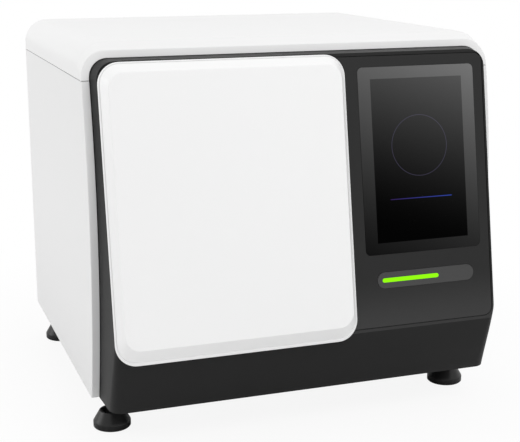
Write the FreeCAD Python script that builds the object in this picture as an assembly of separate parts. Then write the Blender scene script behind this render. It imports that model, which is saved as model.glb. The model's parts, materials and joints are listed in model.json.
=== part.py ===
import FreeCAD, Part
import math
import os

# Digital PCR machine: a bench instrument with a white bowed shell, a black fascia that leans forward,
# a flip-up door over the sample chamber, a portrait touch screen and four levelling feet.
# Millimetres. x to the right, y to the back, z up from the bench. While building, y = 0 is the shell's
# front edge at the seam; at the end everything moves in y so that the origin is the middle of the base.

V = FreeCAD.Vector
ALONG_X = V(1, 0, 0)
ALONG_Y = V(0, 1, 0)
ALONG_Z = V(0, 0, 1)

# Shell
shell_width = 565.0
shell_depth = 452.0
seam_z = 469.0
cover_height = 45.7
panel_bottom_z = 52.5
base_z = 51.0
wall = 3.0
seam_gap = 0.8
cover_corner = 34.0
bow_depth = 23.4
bow_toe = 4.6
brow_drop = 9.5
brow_back_y = 26.0
ring_side_width = 10.5
ring_top_width = 9.5
ring_gap = 0.4
rear_flange = 10.5

# Fascia
fascia_proud = 19.4
fascia_lean = 9.94
fascia_reveal = 5.1
fascia_top = 25.0
fascia_corner = 22.5
ring_corner = 24.0
fascia_back_y = 16.0
front_wall = 6.0
crease_down = 344.9
chin_foot_y = -58.0
chin_corner_top = 10.0
chin_corner_foot = 17.0

# Flush panel in the fascia
inset_margin = 3.7
inset_top_margin = 5.2
inset_bottom_margin = 5.0
inset_depth = 2.2
inset_thick = 2.0
inset_corner = 12.0
groove = 0.9

# Screen
glass_right_margin = 17.5
glass_width = 170.9
glass_top = 5.5
glass_height = 248.7
glass_corner = 7.0
glass_thick = 1.8
glass_proud = 0.3
glass_ledge = 8.0
display_thick = 5.5

# Status capsule and its light pipe
capsule_shift = 1.05
capsule_width = 143.8
capsule_gap = 24.0
capsule_height = 21.6
pipe_inset = 7.2
pipe_width = 83.3
pipe_height = 5.6

# Door, measured on the fascia plane
control_width = 206.9
door_top = 24.0
door_bottom = -352.6
door_corner = 28.0
door_gap = 0.4
lip_thick = 3.0
lip_ledge = 1.8
lip_ledge_bottom = 4.0
field_proud = 13.0
field_side = 10.6
field_top = 13.2
field_bottom = 20.6
field_corner = 20.0
field_round = 2.4
door_skin_wall = 2.5
liner_thick = 2.6
liner_fit = 0.2
seal_width = 3.0
seal_proud = 0.3
seal_offset = 4.0
seal_groove = 2.0
catch_radius = 5.0
catch_thick = 1.5
catch_from_edge = 32.0
catch_below_opening = 13.0

# Door hinges
hinge_axis_up = 23.7
hinge_axis_in = 2.2
knuckle_radius = 2.5
pin_radius = 1.2
running_fit = 0.05
hinge_length = 48.0
hinge_spread = 210.0
knuckle_length = 12.0
knuckle_gap = 0.3
leaf_thick = 1.4
leaf_height = 18.0
door_leaf_height = 12.0
knuckle_clear = 0.6
leaf_clear = 0.1

# Opening in the fascia and the chamber behind it
opening_inset_left = 22.9
opening_inset_right = 22.0
opening_top = 2.0
opening_bottom = -318.0
opening_corner = 18.0
chamber_reach = 6.0
chamber_floor_z = 150.0
chamber_top_z = 473.0
chamber_back_y = 235.0
liner_gauge = 1.5
flange_width = 12.0
seat_gap = 0.3
deck_thick = 4.0

# Chassis
sheet = 2.0
chassis_gap = 0.5
chassis_gap_front = 0.3
chassis_gap_back = 2.0
chassis_top_z = 478.0
chassis_flange = 17.0
rail_height = 33.4
rail_width = 20.0
tray_rim = 20.0
divider_gap = 14.0
boss_radius = 11.0
boss_height = 12.0
window_edge = 44.0
window_sill = 59.0
window_bar = 20.0
bulkhead_window = 60.0
bulkhead_bar = 20.0

# Levelling feet
foot_inset = 31.2
foot_front_y = 28.0
foot_back_inset = 42.0
foot_rim_radius = 25.2
foot_rim_height = 8.5
foot_cone_height = 23.5
foot_cone_radius = 16.5
foot_stud_radius = 4.0
stud_margin = 1.0
foot_travel = 10.0

# Sample stage
stage_travel = 110.0
stage_length = 120.0
stage_half = 85.0
stage_rest_y = 10.0
stage_plate_thick = 8.0
rail_spread = 62.0
rail_half = 6.0
rail_top = 14.0
rail_length = 242.0
block_half = 14.0
block_length = 34.0
block_skirt = 6.0
screw_radius = 4.0
screw_up = 15.0
thermal_thick = 8.0
nest_wall = 6.0
nest_length = 100.0
nest_half = 75.0
chip_width = 24.0
chip_length = 64.0
chip_pitch = 31.0
chip_thick = 3.0
chip_count = 4

# Heated lid
lid_travel = 12.0
lid_clearance = 0.5
lid_thick = 20.0
lid_half = 78.0
lid_length = 90.0
lid_window_half = 62.0
lid_window_length = 68.0
column_spread = 105.0
column_radius = 5.0
bridge_up = 116.0
bridge_thick = 8.0
lid_screw_radius = 3.0

# Optics gantry
beam_up = 176.0
beam_height = 40.0
beam_thick = 20.0
beam_front_y = 186.0
pulley_radius = 8.0
belt_thick = 1.5
belt_width = 6.0
pulley_up = 234.0
pulley_inset = 20.0
shaft_radius = 2.5
wheel_offset = 24.0
wheel_radius = 35.0
wheel_thick = 5.0
filter_radius = 8.0
filter_count = 6
optics_y = 120.0
housing_half = 33.0
motor_size = 28.0

# Fans and rear panel
fan_size = 80.0
fan_depth = 25.0
fan_left_inset = 132.5
fan_right_inset = 117.5
fan_z = 330.0
fan_bore = 37.5
fan_tip = 36.5
fan_hub = 16.0
fan_blades = 7
fan_spindle = 3.0
rear_gauge = 1.5
vent_inset = 82.5
vent_width = 90.0
vent_low_z = 100.0
exhaust_down = 69.0
screw_heights = (80.0, 200.0, 320.0, 440.0)
screw_row = (-120.0, 0.0, 120.0)
inlet_inset = 82.5
inlet_z = 88.0
inlet_half = 20.0
inlet_margin_low = 14.0
inlet_margin_high = 13.0
inlet_rim = 5.0
inlet_rim_thick = 2.2
inlet_deep = 26.0
mouth_deep = 16.0
rocker_z = 118.0
rocker_tilt = 7.0
rocker_half_long = 10.0
rocker_half_wide = 7.4
rocker_pocket_half = 8.0
trunnion_radius = 1.5
trunnion_reach = 1.0
usb_inset = 162.5
usb_width = 14.5
usb_height = 7.0
usb_pitch = 13.0
network_inset = 132.5
network_width = 16.0
network_height = 14.0
port_z = 150.0
port_board_margin = 16.0

# Electronics
board_front_y = 70.0
board_length = 180.0
board_low_z = 200.0
board_height = 220.0
board_thick = 1.6
stand_off = 6.0
sink_side = 60.0
sink_base = 4.4
fin_height = 16.0
fin_pitch = 7.0
memory_height = 11.4
supply_inset = 66.5
supply_back_gap = 49.3
supply_width = 120.0
supply_length = 168.0
supply_height = 62.0
terminal_reach = 10.0

half_width = shell_width / 2
top_z = seam_z + cover_height
ring_half = half_width - ring_side_width
fascia_half = ring_half - fascia_reveal
door_left = -fascia_half
door_right = fascia_half - control_width
glass_left = fascia_half - glass_right_margin - glass_width
capsule_left = glass_left + (glass_width - capsule_width) / 2 + capsule_shift
capsule_middle = glass_top - glass_height - capsule_gap - capsule_height / 2
pipe_left = capsule_left + pipe_inset
opening_left = door_left + opening_inset_left
opening_right = door_right - opening_inset_right
chamber_left = opening_left - chamber_reach
chamber_right = opening_right + chamber_reach
chassis_half = half_width - wall - chassis_gap
divider_x = chamber_right + divider_gap
foot_x = half_width - foot_inset
foot_back_y = shell_depth - foot_back_inset
drive_pulley_x = chamber_right - pulley_inset
idler_pulley_x = chamber_left + pulley_inset
fan_left_x = -half_width + fan_left_inset
fan_right_x = half_width - fan_right_inset
inlet_x = half_width - inlet_inset
ring_top_z = top_z - brow_drop - ring_top_width
rear_inner_y = shell_depth - wall
rear_panel_y = rear_inner_y - 0.2 - rear_gauge
chassis_front_y = fascia_back_y + chassis_gap_front
chassis_back_y = rear_inner_y - chassis_gap_back
stage_x = (chamber_left + chamber_right) / 2
deck_z = chamber_floor_z + deck_thick
door_middle = (door_left + door_right) / 2
hinge_xs = (door_middle - hinge_spread / 2, door_middle + hinge_spread / 2)
fan_xs = (fan_left_x, fan_right_x)
lean = math.radians(fascia_lean)

bow_middle = V(0, bow_toe / 2 - bow_depth, (panel_bottom_z + seam_z) / 2)
bow = Part.Arc(V(0, bow_toe, panel_bottom_z), bow_middle, V(0, 0, seam_z)).toShape().Curve


def block(x0, x1, y0, y1, z0, z1):
    return Part.makeBox(x1 - x0, y1 - y0, z1 - z0, V(x0, y0, z0))


def rod(radius, length, foot, direction=ALONG_Z):
    return Part.makeCylinder(radius, length, foot, direction)


def tube(outer, inner, length, foot, direction=ALONG_Z):
    return rod(outer, length, foot, direction).cut(rod(inner, length, foot, direction))


def fuse(shapes):
    return shapes[0].multiFuse(shapes[1:]).removeSplitter() if len(shapes) > 1 else shapes[0]


def group(shapes):
    return Part.makeCompound(shapes)


def mirror_x(shape):
    return shape.mirror(V(0, 0, 0), ALONG_X)


def polygon(points):
    return Part.Face(Part.makePolygon(points + points[:1]))


def bow_y(z):
    """Where the bowed front surface of the shell lies at height z."""
    return bow.Center.y - math.sqrt(bow.Radius ** 2 - (z - bow.Center.z) ** 2)


def bow_solid(inset=0.0):
    """Everything behind the bowed front surface, moved back by inset."""
    start = V(-shell_width, bow.Center.y, bow.Center.z)
    return rod(bow.Radius - inset, 2 * shell_width, start, ALONG_X)


def on_fascia(shape):
    """Put a shape drawn on the fascia into place: x across, y into the machine, z up the leaning face."""
    placed = shape.copy()
    placed.rotate(V(0, 0, 0), ALONG_X, -fascia_lean)
    placed.translate(V(0, -fascia_proud, seam_z))
    return placed


def fascia_point(x, depth, up):
    """The place in space of a point drawn on the fascia."""
    y = depth * math.cos(lean) + up * math.sin(lean) - fascia_proud
    z = up * math.cos(lean) - depth * math.sin(lean) + seam_z
    return V(x, y, z)


def rounded(x0, x1, z0, z1, radius, y):
    """Wire of a rectangle with round corners, facing along y."""
    k = radius * (1 - math.sqrt(0.5))
    r = radius
    corners = [
        (V(x1 - r, y, z0), V(x1 - k, y, z0 + k), V(x1, y, z0 + r)),
        (V(x1, y, z1 - r), V(x1 - k, y, z1 - k), V(x1 - r, y, z1)),
        (V(x0 + r, y, z1), V(x0 + k, y, z1 - k), V(x0, y, z1 - r)),
        (V(x0, y, z0 + r), V(x0 + k, y, z0 + k), V(x0 + r, y, z0)),
    ]
    edges = []
    for index, (start, middle, end) in enumerate(corners):
        edges.append(Part.Arc(start, middle, end).toShape())
        following = corners[(index + 1) % 4][0]
        if (following - end).Length > 0.001:
            edges.append(Part.makeLine(end, following))
    return Part.Wire(edges)


def plate(x0, x1, z0, z1, radius, y0, y1):
    """Flat plate with round corners, between two depths."""
    return Part.Face(rounded(x0, x1, z0, z1, radius, y0)).extrude(V(0, y1 - y0, 0))


def span(start, middle, end):
    """Straight or round edge through three points."""
    if (middle - start).cross(end - start).Length < 0.01:
        return Part.makeLine(start, end)
    return Part.Arc(start, middle, end).toShape()


def arch(half, low, high, radius, place):
    """Wire with a straight foot and two round top corners; place turns (x, z) into a point in space."""
    knee = high - radius
    flank = half - radius
    diagonal = radius * math.sqrt(0.5)
    rise = (low + knee) / 2
    stops = [
        ((-half, low), (-half, rise), (-half, knee)),
        ((-half, knee), (-flank - diagonal, knee + diagonal), (-flank, high)),
        ((-flank, high), (0, high), (flank, high)),
        ((flank, high), (flank + diagonal, knee + diagonal), (half, knee)),
        ((half, knee), (half, rise), (half, low)),
        ((half, low), (0, low), (-half, low)),
    ]
    return Part.Wire([span(*[place(*point) for point in stop]) for stop in stops])


def chin_cutter(inset):
    """Everything in front of the chin, which turns back from the crease down to its foot."""
    crease = fascia_point(0, 0, -crease_down)
    slope = (chin_foot_y - crease.y) / (crease.z - base_z)
    shift = inset * math.sqrt(1 + slope ** 2)
    low_z = base_z - 30
    high_z = crease.z + 150
    low = V(-shell_width, crease.y + slope * (crease.z - low_z) + shift, low_z)
    high = V(-shell_width, crease.y + slope * (crease.z - high_z) + shift, high_z)
    front = -shell_depth
    face = polygon([low, high, V(-shell_width, front, high_z), V(-shell_width, front, low_z)])
    return face.extrude(V(2 * shell_width, 0, 0))


def fascia_form(inset, front_inset):
    """The fascia as a block: straight inside the shell, then drawn in to its leaning front, with a chin."""
    low = base_z + inset
    ring = ring_half - ring_gap - inset
    ring_high = ring_top_z - ring_gap - inset
    back = arch(ring, low, ring_high, ring_corner - inset, lambda x, z: V(x, fascia_back_y, z))
    middle = arch(ring, low, ring_high, ring_corner - inset, lambda x, z: V(x, bow_y(z), z))
    foot_up = (low - seam_z + front_inset * math.sin(lean)) / math.cos(lean)
    half = fascia_half - inset
    front = arch(half, foot_up, fascia_top - inset, fascia_corner - inset,
                 lambda x, up: fascia_point(x, front_inset, up))
    form = Part.makeLoft([back, middle, front], True, True)
    return form.cut(chin_cutter(max(inset, 0.0)))


def cover_form(inset, back_y):
    """The cover as a block: an arch along the machine whose front brow slopes down to the ring."""
    half = half_width - inset
    front_y = bow_y(seam_z) - 4.0
    brow_front_y = bow_y(top_z - brow_drop)
    fall = brow_drop * (brow_back_y - front_y) / (brow_back_y - brow_front_y)
    high = top_z - inset
    front_radius = high - fall - seam_z - 0.5
    front = arch(half, seam_z, high - fall, front_radius, lambda x, z: V(x, front_y, z))
    brow = arch(half, seam_z, high, cover_corner - inset, lambda x, z: V(x, brow_back_y, z))
    nose = Part.makeLoft([front, brow], True, True)
    body = Part.Face(brow).extrude(V(0, back_y - brow_back_y, 0))
    return nose.fuse(body).common(bow_solid(inset))


def top_cover():
    shell = cover_form(0.0, shell_depth).cut(cover_form(wall, rear_inner_y))
    shell = shell.cut(fascia_form(-ring_gap, 0.0))
    rear_half = half_width - rear_flange
    rear_top = top_z - rear_flange
    window = arch(rear_half, seam_z - 1, rear_top, cover_corner - rear_flange / 2,
                  lambda x, z: V(x, rear_inner_y - 1, z))
    shell = shell.cut(Part.Face(window).extrude(V(0, wall + 2, 0)))
    foot = block(-half_width, half_width, -50, shell_depth, seam_z - 5, seam_z + seam_gap / 2)
    return shell.cut(foot)


def side_panel(side):
    high = seam_z - seam_gap / 2
    outer = block(ring_half, half_width, -50, shell_depth, panel_bottom_z, high).common(bow_solid())
    hollow = block(0, half_width - wall, -50, rear_inner_y, 0, seam_z).common(bow_solid(wall))
    panel = outer.cut(hollow)
    return panel if side > 0 else mirror_x(panel)


def inset_outline(grow, y0, y1):
    """The flush panel's own plate, grown by a groove where it is cut into the frame."""
    half = fascia_half - inset_margin + grow
    low = -crease_down + inset_bottom_margin - grow
    high = fascia_top - inset_top_margin + grow
    return plate(-half, half, low, high, inset_corner + grow, y0, y1)


def chamber_opening(grow, y0, y1):
    return plate(opening_left - grow, opening_right + grow, opening_bottom - grow, opening_top + grow,
                 opening_corner + grow, y0, y1)


def glass_outline(grow, y0, y1):
    low = glass_top - glass_height
    return plate(glass_left - grow, glass_left + glass_width + grow, low - grow, glass_top + grow,
                 max(glass_corner + grow, 1.0), y0, y1)


def capsule(left, width, height, grow, y0, y1):
    radius = height / 2 + grow
    return plate(left - grow, left + width + grow, capsule_middle - radius, capsule_middle + radius,
                 radius - 0.01, y0, y1)


def knuckle_room(y0, y1):
    """Pockets round the hinge knuckles at the fascia's top edge, between two depths."""
    low = hinge_axis_up - knuckle_radius - knuckle_clear
    high = hinge_axis_up + knuckle_radius + knuckle_clear
    half = hinge_length / 2 + knuckle_clear
    return group([block(x - half, x + half, y0, y1, low, high) for x in hinge_xs])


def hinge_notches():
    return knuckle_room(-1, hinge_axis_in + knuckle_radius + knuckle_clear)


def leaf_pockets():
    low = hinge_axis_up - leaf_height - 0.2
    half = hinge_length / 2 + 0.2
    return group([block(x - half, x + half, -1, inset_depth, low, fascia_top) for x in hinge_xs])


def catch_places():
    up = opening_bottom - catch_below_opening
    return [(door_left + catch_from_edge, up), (door_right - catch_from_edge, up)]


def chin_edges(shape):
    """The two upright corners of the chin, from the crease to its foot."""
    crease = fascia_point(0, 0, -crease_down)
    found = []
    for edge in shape.Edges:
        box = edge.BoundBox
        low_corner = box.ZMin < base_z + wall + 1 and box.ZMax < crease.z + 1 and box.ZLength > 40
        if low_corner and box.YMax < -40 and abs(box.Center.x) > fascia_half - 12:
            found.append(edge)
    return found


def rounded_fascia(inset, front_inset):
    """The fascia block with its chin corners rounded, more at the foot than at the crease."""
    form = fascia_form(inset, front_inset)
    for edge in chin_edges(form):
        upward = edge.Vertexes[0].Z < edge.Vertexes[-1].Z
        first = chin_corner_foot if upward else chin_corner_top
        last = chin_corner_top if upward else chin_corner_foot
        form = form.makeFillet(first - inset, last - inset, [edge])
    return form


def fascia_frame():
    frame = rounded_fascia(0.0, 0.0).cut(rounded_fascia(wall, front_wall))
    cuts = [inset_outline(groove, -1, inset_depth), chamber_opening(0, -1, front_wall + 3)]
    cuts.append(glass_outline(-glass_ledge, -1, front_wall + 3))
    cuts.append(capsule(pipe_left, pipe_width, pipe_height, 2.0, -1, front_wall + 3))
    cuts.append(hinge_notches())
    for cut in cuts:
        frame = frame.cut(on_fascia(cut))
    return frame


def fascia_panel():
    panel = inset_outline(0.0, 0.0, inset_thick)
    panel = panel.cut(chamber_opening(0, -1, 3)).cut(glass_outline(0.15, -1, 3))
    panel = panel.cut(capsule(capsule_left, capsule_width, capsule_height, 0.15, -1, 3))
    panel = panel.cut(leaf_pockets())
    for x, up in catch_places():
        panel = panel.cut(rod(catch_radius, 4, V(x, -1, up), ALONG_Y))
    return on_fascia(panel)


def touch_glass():
    return on_fascia(glass_outline(0.0, -glass_proud, glass_thick - glass_proud))


def display_panel():
    behind_glass = glass_thick - glass_proud + 0.1
    module = glass_outline(-glass_ledge - seat_gap, behind_glass, behind_glass + display_thick)
    rear = glass_outline(-glass_ledge - 14, behind_glass + display_thick, behind_glass + display_thick + 3)
    return on_fascia(fuse([module, rear]))


def status_trim():
    trim = capsule(capsule_left, capsule_width, capsule_height, 0.0, -0.4, inset_thick)
    return on_fascia(trim.cut(capsule(pipe_left, pipe_width, pipe_height, 0.1, -1, 3)))


def status_light_pipe():
    lens = capsule(pipe_left, pipe_width, pipe_height, 0.0, -0.7, inset_thick)
    flange = capsule(pipe_left, pipe_width, pipe_height, 1.7, inset_thick, front_wall)
    return on_fascia(fuse([lens, flange]))


def door_outline(inset, y, radius=None):
    """The lip's outline on the fascia, drawn in by inset."""
    corner = door_corner - inset if radius is None else radius
    return rounded(door_left + inset, door_right - inset, door_bottom + inset, door_top - inset, corner, y)


def door_section(share, y, inset=0.0):
    """Outline of the raised part: share 0 is where it leaves the lip, 1 is the flat field."""
    side = lip_ledge + (field_side - lip_ledge) * share + inset
    low = lip_ledge_bottom + (field_bottom - lip_ledge_bottom) * share + inset
    high = lip_ledge + (field_top - lip_ledge) * share + inset
    corner = door_corner - lip_ledge + (field_corner - door_corner + lip_ledge) * share - inset
    return rounded(door_left + side, door_right - side, door_bottom + low, door_top - high, corner, y)


def door_skin():
    lip_face = -door_gap - lip_thick
    face = lip_face - field_proud
    lip = Part.Face(door_outline(0.0, -door_gap)).extrude(V(0, -lip_thick, 0))
    knee = 1 - field_round / field_proud
    bevel = Part.makeLoft([door_section(0.0, lip_face), door_section(knee, face + field_round)], True, True)
    rounding = Part.makeLoft([door_section(knee, face + field_round), door_section(knee + 0.1, face + 0.7),
                              door_section(knee + 0.3, face)], True, True)
    solid = fuse([lip, bevel, rounding])
    seat = Part.Face(door_outline(door_skin_wall, 0.0)).extrude(V(0, lip_face + 0.2, 0))
    deep_face = face + door_skin_wall
    hollow = Part.makeLoft([door_section(0.0, lip_face + 0.2, door_skin_wall + 1),
                            door_section(1.0, deep_face, door_skin_wall)], True, True)
    skin = solid.cut(seat).cut(hollow)
    leaf_front = door_gap + 3 * leaf_clear + leaf_thick
    return on_fascia(skin.cut(knuckle_room(-leaf_front, 1)))


def seal_loop(wide, y0, y1):
    """Loop round the chamber opening, seal_offset outside it."""
    outer = chamber_opening(seal_offset + seal_width + wide, y0, y1)
    return outer.cut(chamber_opening(seal_offset - wide, y0 - 1, y1 + 1))


def door_liner():
    inset = door_skin_wall + liner_fit
    back = -door_gap
    liner = Part.Face(door_outline(inset, back)).extrude(V(0, -liner_thick, 0))
    liner = liner.cut(seal_loop(0.1, back - seal_groove, back + 0.5))
    tray = plate(opening_left + 12, opening_right - 12, opening_bottom + 12, opening_top - 12, 10,
                 back - 1.2, back)
    liner = liner.cut(tray)
    liner = liner.cut(knuckle_room(back - liner_thick, 1))
    leaf_half = hinge_length / 2 - knuckle_length
    leaf_low = hinge_axis_up - door_leaf_height - leaf_clear
    for x in hinge_xs:
        liner = liner.cut(block(x - leaf_half, x + leaf_half, back - 2 * leaf_clear - leaf_thick, 1,
                                leaf_low, door_top + 1))
    for x, up in catch_places():
        liner = liner.cut(rod(catch_radius, catch_thick, V(x, back, up), -ALONG_Y))
    return on_fascia(liner)


def door_seal():
    back = -door_gap
    return on_fascia(seal_loop(0.0, back - seal_groove, back + seal_proud))


def door_strikes():
    discs = [rod(catch_radius, catch_thick, V(x, -door_gap, up), -ALONG_Y) for x, up in catch_places()]
    return on_fascia(group(discs))


def door_magnets():
    discs = [rod(catch_radius, inset_depth - 0.1, V(x, 0.1, up), ALONG_Y) for x, up in catch_places()]
    return on_fascia(group(discs))


def hinge_fixed_leaves():
    """Leaf, two outer knuckles and the pin that is riveted into them, for each hinge."""
    solids = []
    axis = (hinge_axis_in, hinge_axis_up)
    for x in hinge_xs:
        half = hinge_length / 2
        leaf = block(x - half, x + half, inset_depth - leaf_thick, inset_depth,
                     hinge_axis_up - leaf_height, hinge_axis_up - knuckle_radius - 0.3)
        parts_of_leaf = [leaf]
        for start in (x - half, x + half - knuckle_length):
            barrel = rod(knuckle_radius, knuckle_length, V(start, *axis), ALONG_X)
            neck = block(start, start + knuckle_length, inset_depth - leaf_thick, inset_depth,
                         hinge_axis_up - leaf_height, hinge_axis_up)
            parts_of_leaf += [barrel, neck]
        pin = rod(pin_radius, hinge_length, V(x - half, *axis), ALONG_X)
        solids.append(fuse(parts_of_leaf + [pin]))
    return on_fascia(group(solids))


def hinge_door_leaves():
    solids = []
    axis = (hinge_axis_in, hinge_axis_up)
    front = -door_gap - leaf_clear
    for x in hinge_xs:
        half = hinge_length / 2 - knuckle_length - knuckle_gap
        barrel = rod(knuckle_radius, 2 * half, V(x - half, *axis), ALONG_X)
        leaf = block(x - half, x + half, front - leaf_thick, front, hinge_axis_up - door_leaf_height,
                     hinge_axis_up)
        root = block(x - half, x + half, front - leaf_thick, hinge_axis_in - 0.5,
                     hinge_axis_up - leaf_thick, hinge_axis_up)
        bore = rod(pin_radius + running_fit, 2 * half, V(x - half, *axis), ALONG_X)
        solids.append(fuse([barrel, leaf, root]).cut(bore))
    return on_fascia(group(solids))


def behind_fascia(depth):
    """Everything deeper than depth behind the fascia's leaning front."""
    return on_fascia(block(-shell_width, shell_width, depth, 2 * shell_depth, -2 * seam_z, seam_z))


def chamber_liner():
    outer = block(chamber_left - liner_gauge, chamber_right + liner_gauge, -150, chamber_back_y + liner_gauge,
                  chamber_floor_z - liner_gauge, chamber_top_z + liner_gauge)
    inner = block(chamber_left, chamber_right, -151, chamber_back_y, chamber_floor_z, chamber_top_z)
    seat = front_wall + seat_gap
    box = outer.cut(inner).common(behind_fascia(seat))
    flange = plate(chamber_left - flange_width, chamber_right + flange_width, opening_bottom - flange_width,
                   opening_top + flange_width, opening_corner, seat, seat + liner_gauge)
    flange = on_fascia(flange.cut(chamber_opening(0.5, seat - 1, seat + liner_gauge + 1)))
    liner = fuse([box, flange.cut(inner.common(behind_fascia(seat + liner_gauge)))])
    for row in range(3):
        z = chamber_floor_z + 60 + 22 * row
        for column in range(6):
            x = chamber_left + 30 + 8 * column
            slot = block(x, x + 4, chamber_back_y - 1, chamber_back_y + liner_gauge + 1, z, z + 16)
            liner = liner.cut(slot)
    return liner


def deck_front_y():
    """Front edge of the deck, behind the leaning fascia's wall."""
    depth = front_wall + seat_gap + liner_gauge + 2
    return fascia_point(0, depth, (chamber_floor_z - seam_z) / math.cos(lean)).y


def deck_plate():
    fit = 0.3
    deck = block(chamber_left + fit, chamber_right - fit, deck_front_y(), chamber_back_y - fit,
                 chamber_floor_z, deck_z)
    for x in (chamber_left + 14, chamber_right - 14):
        for y in (deck_front_y() + 14, chamber_back_y - 14):
            deck = deck.cut(rod(3.2, deck_thick, V(x, y, chamber_floor_z)))
    return deck


def rail_profile(y0, length, base_z0, x):
    """Profiled guide rail: a wide foot, a waist and a head."""
    high = base_z0 + rail_top
    half = rail_half
    points = [(-half - 3, base_z0), (half + 3, base_z0), (half + 3, base_z0 + 4), (half, base_z0 + 5),
              (half, high - 5), (half - 1.2, high - 3.5), (half, high - 2), (half - 1, high),
              (1 - half, high), (-half, high - 2), (1.2 - half, high - 3.5), (-half, high - 5),
              (-half, base_z0 + 5), (-half - 3, base_z0 + 4)]
    return polygon([V(x + px, y0, pz) for px, pz in points]).extrude(V(0, length, 0))


def stage_rails():
    start = stage_rest_y - stage_length / 2 - 6
    rails = [rail_profile(start, rail_length, deck_z, stage_x + side * rail_spread) for side in (-1, 1)]
    return group(rails)


def stage_carriage():
    low = deck_z + rail_top - block_skirt
    plate_z = deck_z + rail_top + 12
    y0 = stage_rest_y - stage_length / 2
    body = block(stage_x - stage_half, stage_x + stage_half, y0, y0 + stage_length, plate_z,
                 plate_z + stage_plate_thick)
    solids = [body]
    for side in (-1, 1):
        x = stage_x + side * rail_spread
        for y in (y0 + 4, y0 + stage_length - 4 - block_length):
            runner = block(x - block_half, x + block_half, y, y + block_length, low, plate_z)
            slot = block(x - rail_half - 0.2, x + rail_half + 0.2, y - 1, y + block_length + 1,
                         low - 1, deck_z + rail_top + 0.2)
            solids.append(runner.cut(slot))
    screw_z = deck_z + screw_up
    nut = block(stage_x - 11, stage_x + 11, stage_rest_y - 10, stage_rest_y + 12, screw_z - 9, plate_z)
    solids.append(nut)
    carriage = fuse(solids)
    return carriage.cut(rod(screw_radius + running_fit, stage_length, V(stage_x, y0, screw_z), ALONG_Y))


def thermal_top_z():
    return deck_z + rail_top + 12 + stage_plate_thick + thermal_thick


def thermal_block():
    z0 = thermal_top_z() - thermal_thick
    half = nest_half - nest_wall
    length = nest_length - 2 * nest_wall
    y0 = stage_rest_y - length / 2
    core = block(stage_x - half, stage_x + half, y0, y0 + length, z0, z0 + thermal_thick)
    for index in range(chip_count - 1):
        x = stage_x + (index - (chip_count - 2) / 2) * chip_pitch
        high = z0 + thermal_thick
        core = core.cut(block(x - 1, x + 1, y0 - 1, y0 + length + 1, high - 2, high))
    return core


def chip_nest():
    z0 = thermal_top_z() - thermal_thick
    high = thermal_top_z() + chip_thick + 0.5
    outer = block(stage_x - nest_half, stage_x + nest_half, stage_rest_y - nest_length / 2,
                  stage_rest_y + nest_length / 2, z0, high)
    fit = 0.2
    half = nest_half - nest_wall + fit
    core_half = nest_length / 2 - nest_wall + fit
    nest = outer.cut(block(stage_x - half, stage_x + half, stage_rest_y - core_half, stage_rest_y + core_half,
                           z0, thermal_top_z()))
    for index in range(chip_count):
        x = stage_x + (index - (chip_count - 1) / 2) * chip_pitch
        half_wide = chip_width / 2 + 0.5
        half_long = chip_length / 2 + 0.5
        pocket = block(x - half_wide, x + half_wide, stage_rest_y - half_long, stage_rest_y + half_long,
                       thermal_top_z(), high)
        thumb = rod(9, high - thermal_top_z(), V(x, stage_rest_y - chip_length / 2 - 3, thermal_top_z()))
        nest = nest.cut(pocket).cut(thumb)
    return nest


def sample_chips():
    chips = []
    for index in range(chip_count):
        x = stage_x + (index - (chip_count - 1) / 2) * chip_pitch
        y0 = stage_rest_y - chip_length / 2
        chip = block(x - chip_width / 2, x + chip_width / 2, y0, y0 + chip_length, thermal_top_z(),
                     thermal_top_z() + chip_thick)
        well = block(x - 8, x + 8, y0 + 22, y0 + chip_length - 6, thermal_top_z() + chip_thick - 0.8,
                     thermal_top_z() + chip_thick)
        chip = chip.cut(well)
        for port in (-5, 5):
            chip = chip.cut(rod(1.8, 1.6, V(x + port, y0 + 11, thermal_top_z() + chip_thick - 1.6)))
        chips.append(chip)
    return group(chips)


screw_front_y = stage_rest_y - stage_length / 2 - 8
screw_back_y = 192.0
stage_motor_y = 198.0


def stage_screw():
    z = deck_z + screw_up
    solids = [rod(screw_radius, screw_back_y - screw_front_y, V(stage_x, screw_front_y, z), ALONG_Y)]
    solids.append(rod(8, 14, V(stage_x, screw_back_y - 14, z), ALONG_Y))
    return fuse(solids)


def screw_bearings():
    z = deck_z + screw_up
    bearings = []
    for y in (screw_front_y + 0.5, screw_back_y - 24):
        stand = block(stage_x - 11, stage_x + 11, y, y + 8, deck_z, z + 9)
        bearings.append(stand.cut(rod(screw_radius + running_fit, 8, V(stage_x, y, z), ALONG_Y)))
    return group(bearings)


def motor(x, y, z, length, direction):
    """Small square motor with cut corners and a round front boss; its front is at (x, y, z)."""
    half = motor_size / 2
    cut = 3.5
    flat = half - cut
    points = [V(-flat, -half, 0), V(flat, -half, 0), V(half, -flat, 0), V(half, flat, 0),
              V(flat, half, 0), V(-flat, half, 0), V(-half, flat, 0), V(-half, -flat, 0)]
    body = polygon(points).extrude(V(0, 0, length))
    body.rotate(V(0, 0, 0), ALONG_Z.cross(direction) if direction != ALONG_Z else ALONG_X,
                90 if direction != ALONG_Z else 0)
    body.translate(V(x, y, z))
    return body


def stage_motor():
    z = deck_z + screw_up
    body = motor(stage_x, stage_motor_y, z, chamber_back_y - stage_motor_y - 1, ALONG_Y)
    bracket = block(stage_x - 18, stage_x + 18, stage_motor_y - 3, stage_motor_y, deck_z, z + 16)
    foot = block(stage_x - 18, stage_x + 18, stage_motor_y - 3, stage_motor_y + 20, deck_z, deck_z + 1)
    shaft = rod(shaft_radius, stage_motor_y - screw_back_y - seat_gap,
                V(stage_x, screw_back_y + seat_gap, z), ALONG_Y)
    return fuse([body, bracket, foot, shaft])


lid_y = stage_rest_y + stage_travel
lid_low_z = thermal_top_z() + chip_thick + 0.5 + lid_clearance + lid_travel
bridge_z = deck_z + bridge_up
lid_screw_y = lid_y + lid_length / 2 + 13


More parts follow.
